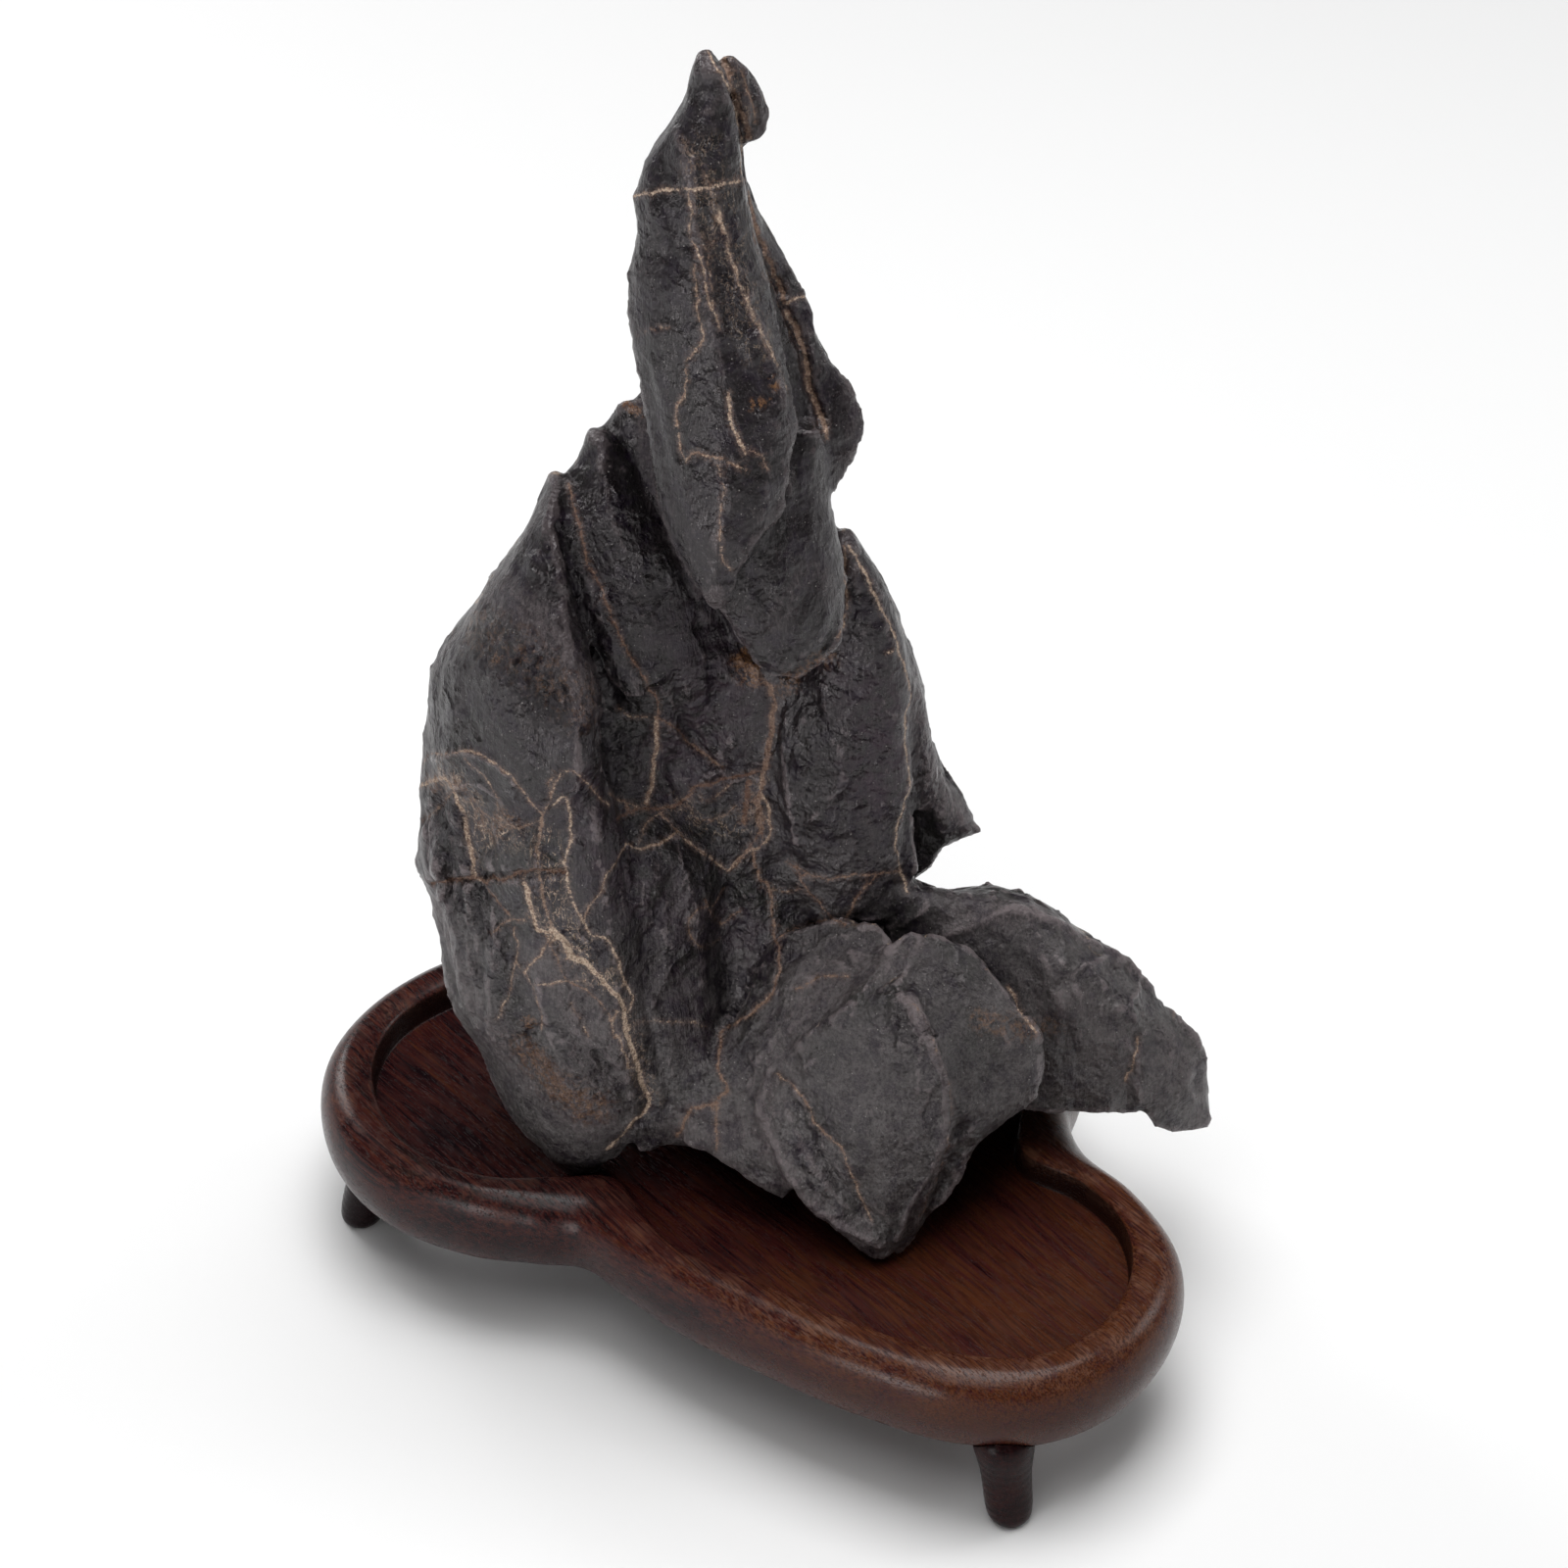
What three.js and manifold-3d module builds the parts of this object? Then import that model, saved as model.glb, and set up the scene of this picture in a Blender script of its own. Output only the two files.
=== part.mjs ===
// A lingbi scholar stone on its carved wooden stand: one stone, one three-lobed tray and four legs.
// Millimetres, +Z up. X runs along the long front side of the tray, and the legs stand on z = 0.
import * as THREE from "three";
import { mergeVertices } from "three/addons/utils/BufferGeometryUtils.js";
import { ConvexGeometry } from "three/addons/geometries/ConvexGeometry.js";
import { LoftGeometry } from "three/addons/geometries/LoftGeometry.js";
import Module from "manifold-3d";

// Driving dimensions of the stand
const trayUnderside = 29;
const trayHeight = 29;
const recessDepth = 10;
const seatingGap = 0.3;
const trayStations = 72;
const legSides = 16;

// Worked out from them
const recessFloor = trayUnderside + trayHeight - recessDepth;

// The stone is described from its viewing side, where it was looked at from above and from the
// tray's right. A corner is [across, down, forward]: across and down are points of a square
// picture 1600 points wide, forward is in mm from the stone's axis towards the viewer.
const viewAzimuth = THREE.MathUtils.degToRad(30);
const viewElevation = THREE.MathUtils.degToRad(37);
const viewDistance = 1700;
const mmPerPoint = 0.3;
const pictureCentre = 800;
const viewAim = new THREE.Vector3(-23, 33, 150);

const forwardAxis = new THREE.Vector3(Math.sin(viewAzimuth), -Math.cos(viewAzimuth), 0);
const acrossAxis = new THREE.Vector3(Math.cos(viewAzimuth), Math.sin(viewAzimuth), 0);
const backAxis = forwardAxis
  .clone()
  .multiplyScalar(Math.cos(viewElevation))
  .setZ(Math.sin(viewElevation));
const upAxis = new THREE.Vector3().crossVectors(backAxis, acrossAxis);
const eye = viewAim.clone().addScaledVector(backAxis, viewDistance);

function sight(across, down, forward) {
  const ray = new THREE.Vector3()
    .addScaledVector(acrossAxis, (across - pictureCentre) * mmPerPoint)
    .addScaledVector(upAxis, (pictureCentre - down) * mmPerPoint)
    .addScaledVector(backAxis, -viewDistance);
  const reach = (forward - eye.dot(forwardAxis)) / ray.dot(forwardAxis);
  return eye.clone().addScaledVector(ray, reach);
}

// A corner that the viewing side hides: mm across, mm forward and height
function hidden(across, forward, height) {
  return new THREE.Vector3(0, 0, height)
    .addScaledVector(acrossAxis, across)
    .addScaledVector(forwardAxis, forward);
}

const weldDistance = 1e-3;
const wasm = await Module();
wasm.setup();

function solidFrom(source) {
  const bare = new THREE.BufferGeometry();
  bare.setAttribute("position", source.getAttribute("position"));
  bare.setIndex(source.index);
  const merged = mergeVertices(bare, weldDistance);
  return new wasm.Manifold(
    new wasm.Mesh({
      numProp: 3,
      vertProperties: new Float32Array(merged.getAttribute("position").array),
      triVerts: new Uint32Array(merged.index.array),
    }),
  );
}

function geometryFrom(solid) {
  const mesh = solid.getMesh();
  const geometry = new THREE.BufferGeometry();
  geometry.setAttribute("position", new THREE.BufferAttribute(mesh.vertProperties, 3));
  geometry.setIndex(new THREE.BufferAttribute(mesh.triVerts, 1));
  geometry.computeVertexNormals();
  return geometry;
}

function loft(sections) {
  return solidFrom(new LoftGeometry(sections, { closed: true, capStart: true, capEnd: true }));
}

function joined(solids) {
  return solids.reduce((sum, solid) => sum.add(solid));
}

// Tray

// Going round the tray from the front waist to the right: its outermost line and, opposite each
// point, the sharp inner edge of the rim. The back lobe stands behind the stone.
const trayPlan = [
  { outer: [-30, -80], inner: [-31, -58] },
  { outer: [-12, -84], inner: [-18, -65] },
  { outer: [8, -88], inner: [0, -75] },
  { outer: [40, -92], inner: [36, -77] },
  { outer: [74, -93], inner: [70, -78] },
  { outer: [106, -89], inner: [96, -75] },
  { outer: [130, -75], inner: [117, -65] },
  { outer: [143, -51], inner: [128, -46] },
  { outer: [144, -22], inner: [127, -20] },
  { outer: [135, 0], inner: [115, 0] },
  { outer: [112, 18], inner: [96, 11] },
  { outer: [88, 29], inner: [72, 15] },
  { outer: [75, 42], inner: [61, 36] },
  { outer: [68, 64], inner: [52, 58] },
  { outer: [50, 85], inner: [38, 73] },
  { outer: [18, 96], inner: [13, 81] },
  { outer: [-16, 94], inner: [-12, 79] },
  { outer: [-44, 80], inner: [-32, 67] },
  { outer: [-62, 59], inner: [-49, 47] },
  { outer: [-88, 48], inner: [-82, 32] },
  { outer: [-116, 32], inner: [-106, 18] },
  { outer: [-136, 6], inner: [-122, -2] },
  { outer: [-144, -26], inner: [-129, -26] },
  { outer: [-140, -54], inner: [-124, -49] },
  { outer: [-122, -78], inner: [-109, -67] },
  { outer: [-96, -91], inner: [-90, -77] },
  { outer: [-66, -91], inner: [-65, -77] },
  { outer: [-45, -85], inner: [-45, -66] },
];

// The rim's section, how far out, from 0 at the inner edge to 1 at the outermost line, and height
// as a share of the tray's height: first from the underside round the outside to the crest
const rollOutside = [
  [0.05, 0],
  [0.5, 0.012],
  [0.74, 0.08],
  [0.9, 0.21],
  [0.98, 0.37],
  [1, 0.52],
  [0.975, 0.68],
  [0.89, 0.82],
  [0.75, 0.92],
  [0.56, 0.985],
  [0.38, 1],
];
// Then the hollow inside the crest, from the recess's floor up
const recessOutline = [
  [-0.1, 1 - recessDepth / trayHeight],
  [-0.07, 0.74],
  [0, 0.9],
  [0.06, 0.935],
  [0.2, 0.98],
  [0.38, 1.001],
  [0.38, 1.2],
];
const rollMiddle = 0.375;

function planLine(side) {
  const points = trayPlan.map((station) => new THREE.Vector3(...station[side], 0));
  const curve = new THREE.CatmullRomCurve3(points, true, "centripetal");
  return Array.from({ length: trayStations }, (_, i) => curve.getPoint(i / trayStations));
}

const outermost = planLine("outer");
const innerEdge = planLine("inner");

function trayRing(outward, height) {
  return outermost.map((point, i) =>
    innerEdge[i].clone().lerp(point, outward).setZ(trayUnderside + height),
  );
}

function rolledSlab(swell) {
  return loft(
    rollOutside.map(([outward, height]) => {
      const out = rollMiddle + (outward - rollMiddle) * (1 + swell);
      const up = trayHeight * (0.5 + (height - 0.5) * (1 + swell));
      return trayRing(out, up);
    }),
  );
}

function makeTray() {
  const recess = loft(
    recessOutline.map(([outward, height]) => trayRing(outward, height * trayHeight)),
  );
  return rolledSlab(0).subtract(recess);
}

// Legs

const legs = [
  { name: "leg_front_left", top: [-118, -58], foot: [-124, -61] },
  { name: "leg_front_right", top: [115, -76], foot: [118, -76] },
  { name: "leg_back_right", top: [42, 66], foot: [44, 69] },
  { name: "leg_back_left", top: [-48, 66], foot: [-51, 69] },
];

// A leg's outline: height and radius, from the flat of the foot up into the rim
const legOutline = [
  [0, 3.8],
  [1, 5.4],
  [3, 6.6],
  [7, 7.2],
  [13, 7.4],
  [19, 7.7],
  [24, 8.4],
  [28.5, 9.2],
  [32, 9],
  [35, 7.2],
  [37, 4],
];
const legFlareHeight = 30;
const trayClearance = 0.035;

function legRing(leg, height, radius) {
  const lean = Math.min(height / legFlareHeight, 1);
  const x = THREE.MathUtils.lerp(leg.foot[0], leg.top[0], lean);
  const y = THREE.MathUtils.lerp(leg.foot[1], leg.top[1], lean);
  return Array.from({ length: legSides }, (_, i) => {
    const turn = (2 * Math.PI * i) / legSides;
    return new THREE.Vector3(x + radius * Math.cos(turn), y + radius * Math.sin(turn), height);
  });
}

function makeLeg(leg, clearOfTray) {
  const shaft = loft(legOutline.map(([height, radius]) => legRing(leg, height, radius)));
  return shaft.subtract(clearOfTray);
}

// Stone: upright layers
// Each row of a layer is [down, left, right, forward at the left, middle and right, thickness].

const layers = {
  spireFront: [
    [54, 712, 724, 6, 7, 6, 6],
    [72, 701, 740, 7, 12, 9, 14],
    [101, 697, 750, 8, 14, 10, 22],
    [135, 677, 755, 8, 17, 11, 26],
    [165, 655, 759, 8, 20, 12, 30],
    [200, 643, 763, 8, 22, 13, 32],
    [240, 648, 772, 10, 25, 15, 32],
    [280, 638, 784, 12, 28, 17, 32],
    [334, 641, 797, 16, 32, 22, 32],
    [380, 650, 806, 20, 36, 27, 32],
    [432, 658, 816, 24, 41, 32, 30],
    [480, 663, 805, 28, 45, 37, 28],
    [520, 672, 800, 32, 48, 40, 26],
    [550, 684, 778, 36, 50, 43, 24],
    [585, 702, 749, 41, 50, 46, 22],
    [608, 718, 738, 46, 50, 48, 16],
    [621, 729, 734, 48, 49, 48, 8],
  ],
  spireCore: [
    [110, 704, 752, 2, 6, 2, 20],
    [170, 676, 758, 0, 8, 0, 32],
    [330, 660, 802, 4, 20, 8, 50],
    [510, 694, 842, 16, 34, 20, 58],
    [572, 716, 846, 22, 38, 26, 54],
  ],
  spireFlange: [
    [150, 738, 760, -4, -2, -4, 8],
    [196, 718, 763, -4, 0, -2, 14],
    [240, 712, 787, -4, 2, -2, 20],
    [275, 708, 812, -2, 4, 0, 22],
    [299, 704, 825, 0, 6, 1, 24],
    [318, 702, 830, 1, 8, 3, 24],
    [345, 700, 836, 4, 11, 5, 26],
    [370, 700, 850, 6, 13, 7, 26],
    [392, 700, 868, 8, 14, 8, 26],
    [420, 704, 881, 11, 17, 9, 26],
    [440, 710, 882, 13, 19, 11, 24],
    [470, 720, 869, 16, 21, 14, 22],
    [502, 730, 853, 20, 23, 18, 16],
  ],
  spireKnob: [
    [58, 736, 750, -2, 0, -2, 6],
    [72, 734, 764, -4, 1, -3, 12],
    [98, 732, 781, -4, 2, -4, 16],
    [116, 732, 784, -3, 3, -4, 16],
    [134, 736, 780, -2, 3, -2, 14],
    [152, 740, 763, 0, 3, 0, 10],
  ],
  neck: [
    [440, 740, 846, 14, 26, 20, 34],
    [500, 724, 846, 22, 34, 23, 50],
    [545, 706, 853, 33, 41, 26, 64],
    [590, 711, 862, 42, 45, 29, 72],
    [620, 733, 862, 44, 46, 32, 74],
    [640, 748, 859, 44, 47, 35, 72],
    [657, 758, 853, 43, 47, 37, 66],
    [676, 768, 841, 43, 46, 40, 50],
    [692, 786, 816, 42, 44, 41, 34],
  ],
  sliver: [
    [408, 636, 660, -8, -6, -8, 8],
    [418, 626, 676, -10, -5, -8, 14],
    [438, 617, 700, -10, -3, -6, 22],
    [480, 634, 730, -8, 1, -4, 30],
    [540, 660, 750, -4, 5, 0, 36],
    [620, 690, 770, 0, 7, 2, 40],
    [700, 700, 790, 2, 8, 4, 40],
  ],
  leaf: [
    [438, 602, 615, -4, -3, -4, 6],
    [450, 594, 628, -4, 1, -4, 12],
    [475, 584, 645, -3, 5, -2, 18],
    [520, 575, 668, 0, 10, 0, 26],
    [580, 584, 700, 4, 14, 2, 32],
    [640, 600, 718, 8, 17, 3, 36],
    [690, 622, 728, 10, 17, 4, 36],
    [735, 640, 724, 8, 13, 3, 32],
    [775, 656, 706, 4, 8, 2, 24],
  ],
  veinedSlab: [
    [488, 573, 582, 0, 2, 2, 10],
    [540, 568, 602, 7, 11, 9, 20],
    [600, 583, 626, 13, 17, 14, 24],
    [660, 603, 652, 18, 21, 17, 26],
    [698, 624, 664, 18, 21, 18, 22],
    [712, 638, 660, 18, 19, 18, 14],
  ],
  shoulder: [
    [482, 562, 570, 0, 1, 0, 6],
    [500, 554, 576, 2, 6, 4, 12],
    [535, 540, 571, 4, 13, 10, 20],
    [586, 507, 583, 4, 20, 16, 30],
    [636, 470, 597, 3, 26, 22, 40],
    [683, 438, 609, 1, 31, 27, 48],
    [735, 433, 617, 0, 36, 31, 52],
    [784, 428, 617, 0, 39, 33, 54],
    [806, 428, 615, -1, 38, 31, 52],
    [838, 430, 606, -8, 28, 20, 48],
  ],
  leftBody: [
    [740, 436, 612, -8, 24, 14, 36],
    [790, 427, 626, -3, 33, 22, 56],
    [850, 427, 640, -1, 35, 28, 60],
    [884, 422, 645, 0, 36, 31, 62],
    [937, 441, 650, 1, 37, 33, 62],
    [985, 449, 656, 3, 38, 34, 60],
    [1033, 462, 660, 6, 39, 34, 56],
    [1080, 495, 662, 10, 39, 34, 48],
    [1120, 508, 664, 14, 39, 33, 40],
    [1155, 530, 655, 20, 36, 31, 32],
    [1180, 556, 632, 23, 32, 28, 22],
    [1200, 580, 612, 24, 27, 25, 10],
  ],
  middle: [
    [520, 730, 846, -12, -2, -8, 34],
    [600, 690, 872, -9, 4, -4, 50],
    [700, 640, 920, -3, 8, 0, 60],
    [820, 612, 930, 4, 10, 3, 68],
    [940, 612, 940, 10, 12, 8, 70],
    [1060, 634, 970, 18, 20, 17, 62],
    [1130, 655, 920, 24, 29, 24, 54],
    [1172, 684, 860, 27, 31, 28, 40],
  ],
  cleft: [
    [556, 574, 632, -2, 2, 0, 22],
    [600, 584, 650, 4, 6, 3, 28],
    [655, 598, 666, 9, 9, 6, 32],
    [720, 604, 674, 13, 12, 8, 34],
    [780, 602, 678, 18, 15, 9, 36],
    [840, 600, 694, 24, 18, 10, 38],
  ],
  belly: [
    [770, 630, 690, -2, 5, 0, 40],
    [815, 608, 712, 10, 14, 5, 48],
    [860, 600, 735, 22, 22, 9, 54],
    [900, 600, 738, 30, 28, 12, 58],
    [950, 600, 732, 33, 31, 14, 60],
    [1000, 606, 735, 34, 33, 16, 60],
    [1050, 620, 744, 34, 34, 21, 58],
    [1100, 636, 748, 34, 35, 28, 52],
    [1140, 646, 744, 33, 35, 32, 46],
    [1176, 650, 716, 31, 33, 32, 32],
  ],
  rightSlab: [
    [544, 858, 868, 4, 5, 3, 8],
    [560, 848, 880, 4, 9, 5, 18],
    [600, 846, 903, 5, 13, 8, 28],
    [654, 842, 922, 6, 16, 10, 38],
    [700, 816, 930, 8, 18, 11, 44],
    [748, 798, 927, 10, 19, 12, 48],
    [800, 792, 930, 11, 19, 12, 50],
    [850, 796, 918, 11, 18, 11, 50],
    [890, 804, 918, 12, 17, 11, 46],
    [940, 824, 905, 13, 17, 12, 36],
  ],
  rightEdge: [
    [556, 862, 872, -4, 2, -6, 10],
    [600, 866, 905, -6, 4, -8, 22],
    [700, 884, 940, -6, 7, -9, 32],
    [790, 894, 962, -6, 5, -8, 32],
    [826, 898, 950, -6, 3, -8, 28],
  ],
  backFlange: [
    [690, 890, 938, -14, -8, -12, 20],
    [768, 890, 950, -16, -6, -12, 28],
    [801, 900, 970, -16, -4, -12, 30],
    [822, 905, 983, -14, -4, -12, 30],
    [848, 910, 1003, -12, -6, -12, 24],
    [864, 914, 962, -10, -6, -10, 20],
    [883, 918, 950, -8, -6, -8, 14],
    [898, 920, 930, -6, -5, -6, 8],
  ],
};

// Stone: blunt blocks, each the hull of its corners

const blocks = {
  noseLeft: [
    [865, 1022, 46], [891, 1007, 44], [912, 992, 40], [909, 965, 32], [826, 1053, 44],
    [790, 1083, 42], [776, 1114, 42], [775, 1133, 43], [780, 1168, 48], [800, 1206, 55],
    [830, 1236, 60], [865, 1263, 64], [884, 1281, 66], [899, 1287, 67], [926, 1018, 48],
    [945, 1041, 54], [956, 1072, 58], [969, 1120, 61], [968, 1160, 62], [949, 1217, 63],
    [930, 1260, 63], [900, 1150, 64], [850, 1100, 12], [900, 1200, 14],
  ],
  noseRight: [
    [909, 965, 32], [926, 951, 28], [960, 955, 26], [991, 969, 26], [1010, 992, 30],
    [1029, 1015, 34], [1048, 1037, 37], [1060, 1060, 40], [1062, 1095, 42], [1056, 1118, 43],
    [1046, 1131, 43], [1021, 1148, 45], [998, 1164, 48], [985, 1182, 52], [968, 1160, 58],
    [956, 1072, 55], [926, 1018, 46], [960, 1190, 54], [960, 1000, -14], [1030, 1080, -4],
    [940, 1120, -8],
  ],
  noseHeel: [
    [991, 1175, 50], [979, 1206, 55], [964, 1229, 58], [945, 1244, 60], [930, 1267, 62],
    [914, 1282, 64], [940, 1180, 60], [965, 1130, 54], [900, 1200, 20], [950, 1170, 16],
  ],
  apron: [
    [795, 952, 20], [850, 936, 21], [900, 946, 24], [911, 958, 26], [906, 975, 31],
    [880, 1002, 36], [840, 1024, 38], [800, 1052, 39], [782, 1084, 39], [772, 1120, 40],
    [800, 1234, 54], [772, 1211, 50], [750, 1194, 46], [724, 1176, 42], [696, 1166, 38],
    [696, 1132, 34], [737, 1056, 28], [770, 1030, 24], [790, 1008, 22], [780, 1000, -16],
    [880, 1060, -20], [800, 1130, 0],
  ],
  armRoot: [
    [900, 905, 10], [945, 907, 3], [1001, 909, -2], [1043, 905, -5], [1083, 938, -3],
    [968, 942, 16], [1037, 926, 12], [1090, 985, 22], [1092, 1060, 27], [1083, 1136, 27],
    [1046, 1131, 27], [985, 1100, 28], [930, 1060, 22], [930, 950, -34], [1060, 980, -34],
    [1060, 1060, -24], [940, 1060, -40],
  ],
  armMiddle: [
    [1043, 905, -5], [1067, 926, -3], [1113, 959, -1], [1152, 980, 1], [1182, 1018, 5],
    [1050, 921, 9], [1100, 985, 20], [1132, 1003, 22], [1160, 1040, 23], [1157, 1080, 25],
    [1165, 1135, 24], [1121, 1135, 26], [1046, 1131, 26], [1046, 1040, 27], [1060, 970, -32],
    [1150, 1020, -24], [1160, 1080, -14], [1060, 1080, -20],
  ],
  armSnout: [
    [1130, 990, 6], [1182, 1018, 5], [1205, 1041, 7], [1224, 1058, 9], [1232, 1080, 12],
    [1232, 1118, 14], [1236, 1145, 16], [1232, 1150, 17], [1201, 1156, 20], [1178, 1150, 22],
    [1160, 1118, 27], [1157, 1080, 27], [1150, 1040, 23], [1200, 1070, -12], [1225, 1100, -4],
    [1180, 1110, -8], [1150, 1050, -20],
  ],
};

// Stone: the hidden back, as hulls of [across, forward, height] corners

const backs = {
  heelLeft: [
    [-50, -14, 46], [-44, -40, 46], [-18, -48, 46], [-8, -22, 46], [-26, 0, 46],
    [-70, -12, 88], [-62, -44, 92], [-16, -60, 84], [4, -30, 90],
    [-64, -20, 150], [-40, -46, 160], [-6, -30, 150],
  ],
  heelRight: [
    [4, -34, 46], [22, -38, 46], [30, -14, 46], [14, 2, 46], [-4, -10, 46],
    [0, -56, 84], [34, -46, 90], [44, -16, 92], [26, 8, 88],
    [8, -52, 140], [34, -36, 150], [30, -6, 160], [0, 0, 160],
  ],
  rearLeafLeft: [
    [-84, -14, 100], [-70, -46, 98], [-40, -58, 94], [-30, -20, 96],
    [-80, -14, 176], [-60, -42, 188], [-36, -52, 190], [-28, -16, 190],
    [-52, -20, 236], [-34, -34, 244], [-28, -12, 240],
  ],
  rearLeafRight: [
    [-34, -52, 92], [-2, -66, 90], [24, -54, 92], [20, -14, 96], [-30, -20, 100],
    [-26, -44, 200], [-4, -54, 206], [12, -40, 190], [10, -10, 180],
    [-14, -26, 252], [-4, -34, 248], [2, -12, 240],
  ],
  rearShoulder: [
    [18, -52, 98], [42, -38, 104], [46, -10, 108], [14, -8, 108],
    [20, -42, 168], [36, -22, 176], [16, -8, 190],
  ],
};

// The stone's whole outline from the viewing side, clockwise from its top
const outline = [
  [702, 68], [713, 53], [723, 51], [736, 54], [741, 59], [746, 57], [759, 68], [774, 84],
  [782, 99], [785, 114], [783, 132], [775, 141], [765, 143], [761, 158], [760, 181], [764, 196],
  [776, 214], [789, 239], [804, 262], [815, 277], [826, 299], [823, 305], [830, 313], [832, 336],
  [848, 367], [868, 390], [878, 405], [884, 429], [883, 440], [874, 458], [866, 483], [853, 506],
  [843, 509], [844, 521], [856, 544], [864, 542], [871, 549], [881, 567], [897, 588], [909, 608],
  [920, 629], [930, 654], [938, 680], [940, 712], [947, 748], [950, 768], [959, 786], [970, 801],
  [983, 822], [993, 835], [1003, 847], [986, 855], [963, 864], [961, 871], [950, 883],
  [935, 891], [925, 897], [928, 902], [945, 907], [968, 910], [1001, 909], [1019, 904],
  [1043, 905], [1052, 917], [1083, 938], [1113, 959], [1152, 980], [1171, 999], [1182, 1018],
  [1205, 1041], [1224, 1059], [1232, 1080], [1232, 1118], [1236, 1145], [1232, 1150],
  [1201, 1156], [1178, 1150], [1165, 1135], [1121, 1135], [1083, 1136], [1046, 1131],
  [1021, 1148], [998, 1164], [991, 1175], [979, 1206], [964, 1229], [945, 1244], [930, 1267],
  [914, 1282], [899, 1287], [884, 1281], [845, 1261], [826, 1246], [800, 1234], [772, 1211],
  [750, 1194], [724, 1176], [695, 1167], [679, 1170], [651, 1178], [622, 1184], [614, 1192],
  [603, 1198], [581, 1199], [565, 1192], [552, 1173], [530, 1154], [517, 1135], [504, 1109],
  [494, 1093], [495, 1081], [485, 1070], [472, 1058], [463, 1033], [456, 1011], [450, 985],
  [445, 950], [442, 937], [444, 932], [438, 909], [441, 903], [433, 896], [424, 884],
  [421, 873], [424, 858], [432, 840], [427, 828], [425, 802], [428, 784], [429, 754],
  [433, 735], [434, 700], [437, 683], [448, 665], [459, 655], [469, 637], [487, 614],
  [507, 586], [522, 558], [540, 535], [553, 510], [559, 489], [566, 481], [576, 489],
  [579, 489], [586, 469], [596, 446], [605, 437], [617, 440], [618, 431], [624, 422],
  [633, 413], [640, 410], [649, 412], [654, 400], [648, 367], [641, 334], [637, 305],
  [639, 280], [649, 254], [648, 234], [643, 211], [644, 196], [648, 178], [659, 158],
  [677, 135], [692, 117], [699, 101],
];
const outlineReach = [120, -150];

// A section of a layer goes round from its right edge over the face to the left and back behind
const faceShares = [1, 0.86, 0.5, 0.14, 0];
const faceBulge = [0, 0.62, 1, 0.62, 0];
const backShares = [0.16, 0.5, 0.84];
const backBulge = [0.62, 1, 0.62];

function layerSection([down, left, right, atLeft, atMiddle, atRight, thickness]) {
  const { lerp } = THREE.MathUtils;
  const face = faceShares.map((share, i) => {
    const edge = lerp(atLeft, atRight, share);
    const forward = edge + (atMiddle - (atLeft + atRight) / 2) * faceBulge[i];
    return sight(lerp(left, right, share), down, forward);
  });
  const rightEdge = face[0];
  const leftEdge = face[face.length - 1];
  const behind = thickness - (atMiddle - (atLeft + atRight) / 2);
  const back = backShares.map((share, i) =>
    leftEdge.clone().lerp(rightEdge, share).addScaledVector(forwardAxis, -behind * backBulge[i]),
  );
  return [...face, ...back];
}

function makeLayer(rows) {
  return loft(rows.map(layerSection));
}

function makeHull(corners) {
  return solidFrom(new ConvexGeometry(corners));
}

function outlineCone() {
  return loft(
    outlineReach.map((forward) => outline.map(([across, down]) => sight(across, down, forward))),
  );
}

function belowSeat() {
  const size = 600;
  const box = new THREE.BoxGeometry(size, size, size);
  box.translate(0, 0, recessFloor + seatingGap - size / 2);
  return solidFrom(box);
}

function makeStone() {
  const seen = [
    ...Object.values(layers).map(makeLayer),
    ...Object.values(blocks).map((corners) => makeHull(corners.map((c) => sight(...c)))),
  ];
  const unseen = Object.values(backs).map((corners) => makeHull(corners.map((c) => hidden(...c))));
  return joined([...seen, ...unseen]).intersect(outlineCone()).subtract(belowSeat());
}

// Finishes
const stoneFinish = new THREE.MeshStandardMaterial({
  color: 0x2b2d2c,
  roughness: 0.6,
  metalness: 0,
});
const trayFinish = new THREE.MeshStandardMaterial({
  color: 0x47251a,
  roughness: 0.42,
  metalness: 0,
});
const legFinish = new THREE.MeshStandardMaterial({
  color: 0x35201a,
  roughness: 0.45,
  metalness: 0,
});

function piece(name, solid, material) {
  const mesh = new THREE.Mesh(geometryFrom(solid), material);
  mesh.name = name;
  return mesh;
}

const scholarStone = new THREE.Group();
const clearOfTray = rolledSlab(trayClearance);
scholarStone.add(piece("stone", makeStone(), stoneFinish));
scholarStone.add(piece("tray", makeTray(), trayFinish));
for (const leg of legs) {
  scholarStone.add(piece(leg.name, makeLeg(leg, clearOfTray), legFinish));
}

// The origin is the middle of the whole piece's footprint, on the surface that it stands on
const box = new THREE.Box3().setFromObject(scholarStone);
scholarStone.position.set(-(box.min.x + box.max.x) / 2, -(box.min.y + box.max.y) / 2, 0);

export default scholarStone;
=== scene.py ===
"""A lingbi scholar stone on its carved wooden stand.

The stone's CAD solid gives its masses. Here its mesh is worn down, ridged, chipped and cracked, and
gets its mineral veins. The stand's tray and legs are made again with smooth sections and a wood
grain. Lengths in the making are millimetres, and every finished mesh is in metres.
"""

import math
from itertools import product
from types import SimpleNamespace

import bmesh
import bpy
import numpy as np
from mathutils import Matrix, Vector
from mathutils.bvhtree import BVHTree
from mathutils.kdtree import KDTree


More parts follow.
